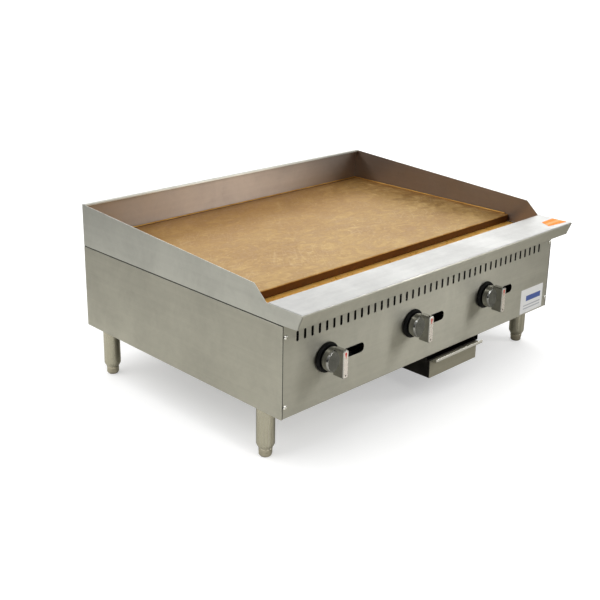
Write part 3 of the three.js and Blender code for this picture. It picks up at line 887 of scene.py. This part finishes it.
class GRIDDLE_OT_finishes(bpy.types.Operator):
    """Makes the shared effects and the metal, plastic and plate finishes."""

    bl_idname = "griddle.finishes"
    bl_label = "Finishes"

    def execute(self, context):
        tones = context.scene.griddle_colours
        for make in (brushed_grain, smudges, edge_wear_and_glint, scratches, speckle):
            make()
        # The front, back and bottom sheets and the ledge nose get a copy 7% darker than the side sheets:
        # painted shade.
        brushed_steel("Shaded cabinet steel along X", scaled(tones.cabinet_steel, 0.93), "X", 0.42)
        brushed_steel("Cabinet steel along Y", tones.cabinet_steel, "Y", 0.42)
        brushed_steel("Splash steel along X", tones.splash_steel, "X", 0.40)
        brushed_steel("Splash steel along Y", tones.splash_steel, "Y", 0.40)
        brushed_steel("Filmed steel along X", (0.47, 0.41, 0.36), "X", 0.40)
        brushed_steel("Filmed steel along Y", (0.29, 0.23, 0.19), "Y", 0.42)
        brushed_steel("Ledge steel", tones.ledge_steel, "X", 0.36)
        plate_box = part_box("griddle_plate")
        trough_dark = scaled(tones.seasoning_dark, 1.8)
        seasoned_steel("Seasoned plate", tones.seasoning, tones.seasoning_dark, 0.46, plate_box)
        seasoned_steel("Oiled trough", (0.90, 0.50, 0.10), trough_dark, 0.34, metallic=0.5)
        brushed_steel("Drawer steel", (0.33, 0.31, 0.24), "X", 0.40)
        # Near-black steel that paints shade on inner faces, opening walls, seams and the hem's underside.
        plain_metal(
            "Painted shade steel", (0.045, 0.042, 0.036), (0.025, 0.023, 0.02), 0.6, scale=260.0, metallic=0.6,
            edge_tone=(0.06, 0.055, 0.05),
        )
        plain_metal("Dark steel", (0.060, 0.056, 0.050), (0.028, 0.026, 0.024), 0.5)
        plain_metal("Burner steel", (0.40, 0.39, 0.37), (0.24, 0.22, 0.20), 0.5, scale=220.0)
        plain_metal("Valve brass", (0.62, 0.45, 0.18), (0.46, 0.32, 0.12), 0.32, scale=400.0)
        plain_metal("Pipe steel", (0.13, 0.13, 0.13), (0.07, 0.07, 0.07), 0.55, scale=260.0, relief=0.35)
        # Chrome with a dark base that stands in for dark reflections, and white edges as painted
        # highlights.
        plain_metal(
            "Knob chrome", (0.36, 0.36, 0.34), (0.26, 0.26, 0.245), 0.05, scale=500.0, relief=0.02,
            edge_tone=(1.0, 1.0, 0.97), edge_reach=0.0016,
        )
        # A pale copy of the chrome for the grip's front face: a painted reflection.
        plain_metal("Grip face reflection", (0.86, 0.80, 0.75), (0.80, 0.74, 0.69), 0.28, scale=500.0, relief=0.05)
        plain_metal("Screw steel", (0.86, 0.85, 0.80), (0.78, 0.77, 0.72), 0.16, scale=500.0, relief=0.03)
        brushed_steel("Leg steel", (0.48, 0.455, 0.365), "Z", 0.24)
        plain_metal("Foot steel", (0.50, 0.46, 0.36), (0.42, 0.39, 0.31), 0.10, scale=320.0, relief=0.03)
        plain_metal("Weld bead", (0.52, 0.30, 0.08), (0.33, 0.16, 0.04), 0.4, scale=420.0, relief=0.4)
        moulded_plastic("Bezel plastic", (0.004, 0.004, 0.004), 0.45, Specular_IOR_Level=0.12)
        moulded_plastic("Mark red", (0.62, 0.06, 0.05), 0.35)
        return {"FINISHED"}


def surface(name):
    """A finish that the first operator made."""
    return bpy.data.materials[name]


class GRIDDLE_OT_cabinet(bpy.types.Operator):
    """Makes the side, back, front and bottom sheets of the cabinet, and their screws."""

    bl_idname = "griddle.cabinet"
    bl_label = "Cabinet"

    def execute(self, context):
        sizes = context.scene.griddle_sizes
        for side in SIDES:
            self.side_panel(side, sizes)
        self.pierced("front_panel", "front_panel_sheet", sizes)
        self.pierced("back_panel", "back_panel_sheet", sizes)
        pan = eased(shape_of("bottom_pan"), sizes.cut_edge)
        pan_finish = surface("Shaded cabinet steel along X")
        piece("bottom_pan_tray", pan, "cabinet", pan_finish, ["bottom_pan"])
        for node in [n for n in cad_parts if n.endswith("panel_screw")]:
            self.screw(node)
        return {"FINISHED"}

    def side_panel(self, side, sizes):
        """A side sheet with a round fold at the front and a round edge under the splash guard."""
        node = f"{side}_side_panel"
        low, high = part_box(node)
        outer = low.x if side == "left" else high.x
        top = high.z - sizes.joint

        def lies_at(edge, axis, at):
            return all(abs(v.co[axis] - at) < TOUCHING for v in edge.verts)

        def outer_fold(edge):
            return lies_at(edge, 0, outer) and (lies_at(edge, 1, low.y) or lies_at(edge, 2, top))

        def inner(edge):
            return max(abs(v.co.x - outer) for v in edge.verts) > sizes.sheet * 0.9

        sheet = drawn_back(shape_of(node), 2, high.z, -sizes.joint)
        sheet = eased(sheet, sizes.corner_radius * 0.5, 4, outer_fold)
        sheet = held_in(eased(sheet, sizes.cut_edge, 2, inner), node)
        side_finish = surface("Cabinet steel along Y")
        made = piece(f"{side}_side_sheet", sheet, "cabinet", side_finish, [node])
        shade_inside(made, surface("Painted shade steel"), 0, -1 if side == "left" else 1, sizes.sheet)

    def pierced(self, node, name, sizes):
        """A folded sheet with its vents and slots cut through its face."""
        holes = [opening_cutter(centre, size, 1) for centre, size in openings(node, 1)]
        low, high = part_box(node)
        outer = low.y if node == "front_panel" else high.y
        ends = low.x + sizes.joint, high.x - sizes.joint

        def end_edge(edge):
            a, b = (v.co for v in edge.verts)
            on_face = max(abs(a.y - outer), abs(b.y - outer)) < TOUCHING
            return on_face and abs(a.x - b.x) < TOUCHING and min(abs(a.x - end) for end in ends) < TOUCHING

        sheet = drawn_back(folded(node, sizes), 0, low.x, sizes.joint)
        sheet = drawn_back(sheet, 0, high.x, -sizes.joint)
        sheet = eased(sheet, sizes.corner_radius * 0.45, 4, end_edge)
        sheet = cut_away(sheet, joined(*holes))
        made = piece(name, sheet, "cabinet", surface("Shaded cabinet steel along X"), [node])
        shade_inside(made, surface("Painted shade steel"), 1, -1 if node == "front_panel" else 1, sizes.sheet)

    def screw(self, node):
        """A pan head with a cross recess."""
        low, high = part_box(node)
        x, z = (low.x + high.x) / 2, (low.z + high.z) / 2
        radius = (high.z - low.z) / 2
        tall = 0.0036
        rim = tall * 0.22
        slot_width, slot_length = 0.0010, 0.0046
        shank_radius, shank_length = 0.0018, 0.008
        profile = [(0, 0), (radius, 0), (radius, rim)]
        profile += [
            (radius * math.cos(rise), rim + (tall - rim) * math.sin(rise))
            for rise in (math.pi / 2 * k / 8 for k in range(1, 8))
        ]
        profile.append((0, tall))
        head = turned(profile, "Y", 40)
        for size in ((slot_width, slot_length), (slot_length, slot_width)):
            slot = extruded(round_rectangle(*size, 0.0003), -2 * tall, -0.6 * tall, "Y")
            head = cut_away(head, slot)
        outline = [(0, 0.0002), (shank_radius, 0.0002), (shank_radius, -shank_length), (0, -shank_length)]
        shank = turned(outline, "Y", 24)
        screw = moved(joined(head, shank), (x, low.y + tall, z))
        piece(f"{node}_head", screw, "cabinet", surface("Screw steel"), [node])


class GRIDDLE_OT_top(bpy.types.Operator):
    """Makes the splash guards, the front ledge, the griddle plate with its beads, and the trough."""

    bl_idname = "griddle.top"
    bl_label = "Cooking top"
    splash_joint = 0.4

    def execute(self, context):
        sizes = context.scene.griddle_sizes
        for side in SIDES:
            self.side_splash(side, sizes)
            self.seam_strip(side, sizes)
        self.back_splash(sizes)
        self.ledge(sizes)
        plate = eased(shape_of("griddle_plate"), sizes.plate_edge, 4)
        seasoned = surface("Seasoned plate")
        piece("cooking_plate", plate, "cabinet", seasoned, ["griddle_plate"])
        self.trough(sizes)
        self.beads(sizes)
        return {"FINISHED"}

    def side_splash(self, side, sizes):
        node = f"{side}_splash"
        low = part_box(node)[0].z
        guard = drawn_back(shape_of(node), 2, low, sizes.joint * self.splash_joint)
        guard = eased(guard, sizes.cut_edge * 1.6, 3)
        splash_finish = surface("Splash steel along Y")
        made = piece(f"{side}_splash_guard", guard, "cabinet", splash_finish, [node])
        self.film_inside(made, surface("Filmed steel along Y"), 0, 1 if side == "left" else -1)

    def seam_strip(self, side, sizes):
        """Closes the seam between side panel and splash guard from inside, as a shadow line."""
        panel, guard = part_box(f"{side}_side_panel"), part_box(f"{side}_splash")
        thickness, slack = 0.0006, 0.0001
        inner = guard[1].x - thickness if side == "left" else guard[0].x
        bottom = panel[1].z - sizes.joint + slack
        top = guard[0].z + sizes.joint * self.splash_joint - slack
        outline = [(inner, bottom), (inner + thickness, bottom), (inner + thickness, top), (inner, top)]
        strip = extruded(outline, panel[0].y, guard[1].y, "Y")
        piece(f"{side}_seam_strip", strip, "cabinet", surface("Painted shade steel"))

    def back_splash(self, sizes):
        node = "back_splash"
        back = folded(node, sizes)
        splash_finish = surface("Splash steel along X")
        made = piece(f"{node}_guard", back, "cabinet", splash_finish, [node])
        self.film_inside(made, surface("Filmed steel along X"), 1, -1)
        self.shade_hem(made, surface("Painted shade steel"))

    def ledge(self, sizes):
        """The front ledge, with its nose in the darker finish of the front panel as painted shade."""
        node = "front_ledge"
        low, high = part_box(node)
        joint = sizes.joint * 0.7
        sheet = drawn_back(folded(node, sizes, 0.002), 0, low.x, joint)
        sheet = drawn_back(sheet, 0, high.x, -joint)
        made = piece(f"{node}_sheet", sheet, "cabinet", surface("Ledge steel"), [node])
        made.data.materials.append(surface("Shaded cabinet steel along X"))
        for face in made.data.polygons:
            if face.normal.y < -0.6:
                face.material_index = 1

    def film_inside(self, made, material, axis, way):
        """Cooking leaves a thin brown film on the faces that look over the plate."""
        made.data.materials.append(material)
        for face in made.data.polygons:
            if face.normal[axis] * way > 0.9:
                face.material_index = 1

    def shade_hem(self, made, material):
        """Paints shade on the inside and the lower edge of the hem with the near-black finish; the rest of
        the hem keeps the splash steel without the film.
        """
        hem_height, hem_depth = 0.0052, 0.009
        made.data.materials.append(material)
        hem_top = max(v.co.z for v in made.data.vertices)
        sheet_front = min(v.co.y for v in made.data.vertices)
        for face in made.data.polygons:
            near_hem = face.center.z > hem_top - hem_height and face.center.y < sheet_front + hem_depth
            if near_hem and (face.normal.z < -0.3 or face.normal.y > 0.5):
                face.material_index = 2
            elif near_hem:
                face.material_index = 0

    def trough(self, sizes):
        """The folded trough in front of the plate, with its drain."""
        node = "grease_trough"
        channel = folded(node, sizes, 0.003, 0.002)
        drains = [opening_cutter(centre, size, 2, 0.004) for centre, size in openings(node, 2, 0.06)]
        channel = cut_away(channel, joined(*drains))
        piece("trough_channel", channel, "cabinet", surface("Oiled trough"), [node])

    def beads(self, sizes):
        """Rippled weld beads where the plate meets the splash guards."""
        low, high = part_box("griddle_plate")
        top = high.z
        inset = sizes.bead * 0.25
        left, right, rear = low.x + inset, high.x - inset, high.y - inset
        front = low.y + 0.01
        runs = (
            ("rear", (low.x, rear, top), (high.x, rear, top), (0, -1, 0)),
            ("left", (left, front, top), (left, high.y, top), (1, 0, 0)),
            ("right", (right, front, top), (right, high.y, top), (-1, 0, 0)),
        )
        for where, start, stop, inwards in runs:
            bead = bead_along(Vector(start), Vector(stop), Vector(inwards), sizes.bead)
            piece(f"{where}_plate_bead", bead, "cabinet", surface("Weld bead"))


def bead_along(start, stop, inwards, radius):
    """A quarter-round bead in the corner between plate and splash, with the ripples of a hand weld."""
    ripple = 0.0032
    steps = 3
    count = int((stop - start).length / (ripple / steps))
    arc = 7
    bm = bmesh.new()
    rings = []
    for i in range(count + 1):
        centre = start.lerp(stop, i / count)
        swell = 1 + 0.10 * math.sin(2 * math.pi * i / steps) + 0.06 * math.sin(0.113 * i)
        ring = [bm.verts.new(centre)]
        for k in range(arc):
            angle = math.pi / 2 * k / (arc - 1)
            reach = inwards * math.cos(angle) + Vector((0, 0, 1)) * math.sin(angle)
            ring.append(bm.verts.new(centre + reach * radius * swell))
        rings.append(ring)
    for a, b in zip(rings, rings[1:]):
        for k in range(arc + 1):
            j = (k + 1) % (arc + 1)
            bm.faces.new((a[k], a[j], b[j], b[k]))
    bm.faces.new(rings[0])
    bm.faces.new(rings[-1])
    bmesh.ops.recalc_face_normals(bm, faces=bm.faces)
    return bm


class GRIDDLE_OT_knobs(bpy.types.Operator):
    """Makes the three chrome knobs, their red marks and their black bezels."""

    bl_idname = "griddle.knobs"
    bl_label = "Knobs"

    def execute(self, context):
        sizes = context.scene.griddle_sizes
        for where in PLACES:
            self.bezel(where, sizes)
            self.knob(where, sizes)
        return {"FINISHED"}

    def bezel(self, where, sizes):
        """A ring with a sloping shoulder and a sunk face round the knob."""
        node = f"{where}_knob_bezel"
        low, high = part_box(node)
        radius, deep = (high.x - low.x) / 2, high.y - low.y
        bore, face = 0.009, 0.0275
        sunk = deep - 0.0022
        profile = rounded(
            [(bore, 0), (radius, 0), (radius, deep * 0.45), (radius - 0.0025, deep), (face, deep),
             (face - 0.0007, sunk), (bore, sunk)],
            [0, 0.0003, 0.0015, 0.0015, 0.0006, 0.0006, 0], 4, closed=False,
        )
        ring = moved(turned(profile + profile[:1], "Y", sizes.round_steps), self.middle(node, high.y))
        piece(f"{where}_bezel_ring", ring, "cabinet", surface("Bezel plastic"), [node])

    def middle(self, node, y):
        """The centre of a node's front view, at a given depth."""
        low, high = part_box(node)
        return Vector(((low.x + high.x) / 2, y, (low.z + high.z) / 2))

    def knob(self, where, sizes):
        """A chrome barrel with a bar grip across it, a red mark at its top and a pin near its foot."""
        node = f"{where}_knob"
        low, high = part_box(node)
        radius, deep, bore = (high.x - low.x) / 2, 0.0185, 0.0044
        body = f"{where}_control"
        back = self.middle(node, high.y)
        profile = rounded(
            [(bore, 0), (radius - 0.0014, 0), (radius, 0.003), (radius, deep - 0.004),
             (radius - 0.0018, deep), (bore, deep - 0.0012)],
            [0, 0.0008, 0.0012, 0.0045, 0.0010, 0], 7, closed=False,
        )
        barrel = moved(turned(profile + profile[:1], "Y", sizes.round_steps), back)
        piece(f"{where}_knob_barrel", barrel, body, surface("Knob chrome"), [node])
        tall, wide = high.z - low.z, 0.0145
        front_y = low.y + 0.0003
        outline = [(back.x + u, back.z + v) for u, v in round_rectangle(wide, tall, 0.003)]
        grip = extruded(outline, front_y, back.y - deep + 0.0016, "Y")

        def front(edge):
            return all(abs(v.co.y - front_y) < TOUCHING for v in edge.verts)

        grip = eased(grip, 0.0014, 4, front)
        made = piece(f"{where}_knob_grip", grip, body, surface("Knob chrome"))
        # The grip's front face gets the pale chrome copy: a painted reflection.
        made.data.materials.append(surface("Grip face reflection"))
        for face in made.data.polygons:
            if face.normal.y < -0.999:
                face.material_index = 1
        mark = extruded(teardrop(0.0050, 0.0135), -0.00025, 0.0006, "Y")
        mark = moved(mark, (back.x, front_y, back.z + tall / 2 - 0.0105))
        piece(f"{where}_knob_mark", mark, body, surface("Mark red"))
        pin_radius, pin_deep = 0.0016, 0.0004
        pin_outline = [(0, 0), (pin_radius, 0), (pin_radius, pin_deep), (0, pin_deep)]
        pin = turned(rounded(pin_outline, [0, 0, 0.0002, 0], 3, closed=False), "Y", 24)
        pin = moved(pin, (back.x, front_y + 0.0001, back.z - tall / 2 + 0.006))
        piece(f"{where}_knob_pin", pin, body, surface("Bezel plastic"))


def teardrop(width, length):
    """A drop with its round end up, as (x, z) points round its middle."""
    radius = width / 2
    centre = length / 2 - radius
    reach = length - radius
    half = math.acos(radius / reach)
    points = []
    for k in range(25):
        angle = -math.pi / 2 + half + (2 * math.pi - 2 * half) * k / 24
        points.append((radius * math.cos(angle), centre + radius * math.sin(angle)))
    points.append((0.0, -length / 2))
    return points


class GRIDDLE_OT_legs(bpy.types.Operator):
    """Makes the four tube legs and their levelling feet."""

    bl_idname = "griddle.legs"
    bl_label = "Legs"

    def execute(self, context):
        sizes = context.scene.griddle_sizes
        for end in ENDS:
            for side in SIDES:
                self.leg(f"{end}_{side}", sizes)
                self.foot(f"{end}_{side}", sizes)
        return {"FINISHED"}

    def leg(self, where, sizes):
        """A tube that tapers to the width of its foot."""
        node = f"{where}_leg"
        low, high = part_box(node)
        foot_low, foot_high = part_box(f"{where}_foot")
        radius = (high.x - low.x) / 2
        foot_radius = (foot_high.x - foot_low.x) / 2 + 0.0006
        taper = 0.009
        profile = rounded(
            [(0.0056, low.z), (foot_radius, low.z), (foot_radius, low.z + 0.001), (radius, low.z + taper),
             (radius, high.z), (0.005, high.z)],
            [0, 0.0006, 0.001, 0.010, 0.0006, 0], 8, closed=False,
        )
        tube = turned(profile + profile[:1], "Z", sizes.round_steps)
        tube = moved(tube, ((low.x + high.x) / 2, (low.y + high.y) / 2, 0))
        piece(f"{where}_leg_tube", tube, "cabinet", surface("Leg steel"), [node])

    def foot(self, where, sizes):
        """A turned foot with six flats for a spanner near the floor."""
        node = f"{where}_foot"
        low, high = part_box(node)
        radius = (high.x - low.x) / 2
        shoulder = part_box(f"{where}_leg")[0].z - 0.0003
        flats, flat_top = radius * 0.90, 0.0115
        stem = 0.005
        heights = [0.0, 0.0004, 0.0012, 0.0025, 0.004, 0.006, 0.008, 0.0095, 0.0105, flat_top]
        profile = [(0, 0)] + [(radius - max(0.0, 0.004 - h) * 0.8, h) for h in heights]
        profile += [(radius, flat_top + 0.0012), (radius, shoulder - 0.0006), (radius - 0.0005, shoulder)]
        profile += [(stem, shoulder), (stem, high.z), (0, high.z)]

        def spanner_flats(r, angle, height):
            if r < flats or height > flat_top + 0.0008:
                return r
            turn = (angle + math.pi / 6) % (math.pi / 3) - math.pi / 6
            slope = max(0.0, height - flat_top + 0.002) * 0.7
            return min(r, (flats + slope) / math.cos(turn))

        foot = turned(profile, "Z", sizes.round_steps, spanner_flats)
        foot = moved(foot, ((low.x + high.x) / 2, (low.y + high.y) / 2, 0))
        piece(f"{where}_foot_nut", foot, f"{where}_foot_body", surface("Foot steel"), [node])


class GRIDDLE_OT_drawer(bpy.types.Operator):
    """Makes the grease drawer with its folded pull, its rails and the chute above it."""

    bl_idname = "griddle.drawer"
    bl_label = "Grease drawer"

    def execute(self, context):
        sizes = context.scene.griddle_sizes
        pull = folded("drawer_front", sizes, 0.001, 0.0012)
        pull_finish = surface("Drawer steel")
        made = piece("drawer_pull", pull, "drawer", pull_finish, ["drawer_front"])
        # The top faces of the pull's lip get the bright screw steel: a painted highlight.
        made.data.materials.append(surface("Screw steel"))
        lip_highlight_from = max(v.co.z for v in made.data.vertices) - 0.0035
        for face in made.data.polygons:
            if face.center.z > lip_highlight_from:
                face.material_index = 1
        drawer_edge = 0.0004
        box = eased(shape_of("grease_drawer"), drawer_edge)
        # The drawer box gets the near-black dark steel: painted shade under the cabinet.
        piece("drawer_box", box, "drawer", surface("Dark steel"), ["grease_drawer"])
        for node in ("left_drawer_rail", "right_drawer_rail", "grease_chute"):
            part = eased(shape_of(node), sizes.cut_edge)
            piece(f"{node}_sheet", part, "cabinet", surface("Dark steel"), [node])
        return {"FINISHED"}


class GRIDDLE_OT_gas(bpy.types.Operator):
    """Gives the burners, valves, pipes and inner sheets their finishes."""

    bl_idname = "griddle.gas"
    bl_label = "Burners and gas train"

    def execute(self, context):
        dress(surface("Dark steel"), "heat_shield", "front_burner_rest", "rear_burner_rest")
        dress(surface("Pipe steel"), "gas_manifold", "manifold_cap", "supply_elbow", "supply_pipe")
        for where in PLACES:
            burner_parts = [f"{where}_{part}" for part in ("burner", "air_shutter", "pilot_tube")]
            valve_parts = [f"{where}_{part}" for part in ("gas_valve", "valve_stem", "pilot_valve")]
            dress(surface("Burner steel"), *burner_parts)
            dress(surface("Valve brass"), *valve_parts)
        return {"FINISHED"}


class GRIDDLE_OT_labels(bpy.types.Operator):
    """Puts a plain label on the front and an orange sticker on the ledge."""

    bl_idname = "griddle.labels"
    bl_label = "Labels"
    corner = 0.002
    sunk = 0.0001

    def execute(self, context):
        self.label(context.scene.griddle_sizes, context.scene.griddle_colours)
        self.sticker(context.scene.griddle_sizes, context.scene.griddle_colours)
        return {"FINISHED"}

    def label(self, sizes, tones):
        low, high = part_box("front_panel")
        centre = Vector((high.x - 0.066, low.y, low.z + 0.0355))
        label_print = printed_label("Label print", tones.label_white, tones.label_blue, centre, sizes)
        outline = [
            (centre.x + u, centre.z + v)
            for u, v in round_rectangle(sizes.label_width, sizes.label_height, self.corner)
        ]
        label = extruded(outline, low.y - sizes.film, low.y + self.sunk, "Y")
        piece("front_label", label, "cabinet", label_print)

    def sticker(self, sizes, tones):
        """A sticker with its corners cut askew."""
        low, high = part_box("front_ledge")
        spot = Vector((high.x - 0.0284, low.y + 0.0331, high.z))
        sticker_print = printed_sticker("Sticker print", tones.sticker, spot)
        corners = [(-0.040, -0.012), (0.0275, -0.0195), (0.0275, 0.0195), (-0.024, 0.018)]
        corners = rounded([(spot.x + u, spot.y + v) for u, v in corners], self.corner)
        sticker = extruded(corners, spot.z - self.sunk, spot.z + sizes.film, "Z")
        piece("ledge_sticker", sticker, "cabinet", sticker_print)


class GRIDDLE_OT_studio(bpy.types.Operator):
    """Lays the floor, hangs the softboxes and stands the camera."""

    bl_idname = "griddle.studio"
    bl_label = "Studio"

    def execute(self, context):
        studio = context.scene.griddle_studio
        self.floor()
        self.room(studio.walls, studio.ceiling)
        self.overhead(studio.overhead)
        self.softbox("Rear softbox", studio.rear, at=(2.7, 2.6, 1.5), aim=(0, 0, 0.3), size=(4.8, 1.8))
        self.softbox(
            "Camera strip", studio.camera_strip, at=(-0.5, -2.3, 1.2), aim=(0, -0.2, 0.2), size=(0.22, 1.6)
        )
        self.softbox(
            "Front strip", studio.front, at=(1.70, -1.68, 1.25), aim=(0, -0.1, 0.3), size=(0.42, 1.6)
        )
        self.camera(studio)
        context.scene.view_settings.view_transform = "Standard"
        return {"FINISHED"}

    def floor(self):
        reach = 20.0
        bm = bmesh.new()
        bmesh.ops.create_grid(bm, x_segments=8, y_segments=8, size=reach)
        mesh = bpy.data.meshes.new("studio_floor")
        bm.to_mesh(mesh)
        bm.free()
        floor = bpy.data.objects.new("studio_floor", mesh)
        bpy.context.scene.collection.objects.link(floor)
        mesh.materials.append(floor_paper())

    def room(self, walls, ceiling):
        """Dim walls and a bright ceiling, with a soft change between them."""
        world = bpy.data.worlds.new("Studio room")
        world.use_nodes = True
        tree = world.node_tree
        direction = place(tree, "ShaderNodeTexCoord").outputs["Generated"]
        height = place(tree, "ShaderNodeSeparateXYZ", {"Vector": direction}).outputs["Z"]
        brightness = ranged(tree, height, 0.05, 0.75, walls, ceiling)
        background = tree.nodes["Background"]
        background.inputs["Color"].default_value = (1.0, 1.0, 1.0, 1.0)
        feed(tree, background.inputs["Strength"], brightness)
        bpy.context.scene.world = world

    def overhead(self, strength):
        """Light from the whole ceiling, even over the floor."""
        light = bpy.data.lights.new("Overhead light", "SUN")
        light.energy = strength
        light.angle = math.radians(75)
        lean_back, lean_right = math.radians(-14), math.radians(-16)
        lamp = bpy.data.objects.new("Overhead light", light)
        bpy.context.scene.collection.objects.link(lamp)
        lamp.rotation_euler = (lean_back, lean_right, 0)

    def softbox(self, name, power, at, aim, size):
        """A broad soft light that the camera doesn't see."""
        light = bpy.data.lights.new(name, "AREA")
        light.shape = "RECTANGLE"
        light.size, light.size_y = size
        light.energy = power
        lamp = bpy.data.objects.new(name, light)
        bpy.context.scene.collection.objects.link(lamp)
        lamp.location = at
        lamp.rotation_mode = "QUATERNION"
        lamp.rotation_quaternion = (Vector(aim) - Vector(at)).to_track_quat("-Z", "Y")
        lamp.visible_camera = False

    def camera(self, studio):
        """Stands the camera, panned, tilted and rolled by its three angles."""
        pan, tilt, roll = (math.radians(angle) for angle in studio.camera_turn)
        ahead = Vector((math.sin(pan) * math.cos(tilt), math.cos(pan) * math.cos(tilt), -math.sin(tilt)))
        right = Vector((math.cos(pan), -math.sin(pan), 0))
        up = right.cross(ahead)
        rolled_right = right * math.cos(roll) + up * math.sin(roll)
        rolled_up = up * math.cos(roll) - right * math.sin(roll)
        data = bpy.data.cameras.new("Studio camera")
        data.lens = studio.lens
        data.sensor_width = 36.0
        data.shift_y = studio.shift_y
        data.clip_start, data.clip_end = 0.05, 100.0
        camera = bpy.data.objects.new("Studio camera", data)
        bpy.context.scene.collection.objects.link(camera)
        turn = Matrix((rolled_right, rolled_up, -ahead)).transposed()
        camera.matrix_world = Matrix.Translation(studio.camera_place) @ turn.to_4x4()
        bpy.context.scene.camera = camera


class GRIDDLE_PT_build(bpy.types.Panel):
    """Lists the griddle's groups of pieces and their settings."""

    bl_idname = "GRIDDLE_PT_build"
    bl_label = "Griddle"
    bl_space_type = "VIEW_3D"
    bl_region_type = "UI"
    bl_category = "Griddle"

    def draw(self, context):
        for operator in OPERATORS:
            self.layout.operator(operator.bl_idname)
        scene = context.scene
        for group in (scene.griddle_sizes, scene.griddle_colours, scene.griddle_studio):
            box = self.layout.box()
            for name in group.__annotations__:
                box.prop(group, name)


SETTINGS = (GriddleSizes, GriddleColours, GriddleStudio)
OPERATORS = (
    GRIDDLE_OT_finishes,
    GRIDDLE_OT_cabinet,
    GRIDDLE_OT_top,
    GRIDDLE_OT_knobs,
    GRIDDLE_OT_legs,
    GRIDDLE_OT_drawer,
    GRIDDLE_OT_gas,
    GRIDDLE_OT_labels,
    GRIDDLE_OT_studio,
)


def register():
    for made in (*SETTINGS, *OPERATORS, GRIDDLE_PT_build):
        bpy.utils.register_class(made)
    bpy.types.Scene.griddle_sizes = PointerProperty(type=GriddleSizes)
    bpy.types.Scene.griddle_colours = PointerProperty(type=GriddleColours)
    bpy.types.Scene.griddle_studio = PointerProperty(type=GriddleStudio)


def unregister():
    del bpy.types.Scene.griddle_studio
    del bpy.types.Scene.griddle_colours
    del bpy.types.Scene.griddle_sizes
    for made in reversed((*SETTINGS, *OPERATORS, GRIDDLE_PT_build)):
        bpy.utils.unregister_class(made)


def main():
    register()
    bpy.ops.griddle.finishes()
    bpy.ops.griddle.cabinet()
    bpy.ops.griddle.top()
    bpy.ops.griddle.knobs()
    bpy.ops.griddle.legs()
    bpy.ops.griddle.drawer()
    bpy.ops.griddle.gas()
    bpy.ops.griddle.labels()
    bpy.ops.griddle.studio()


if __name__ == "__main__":
    main()
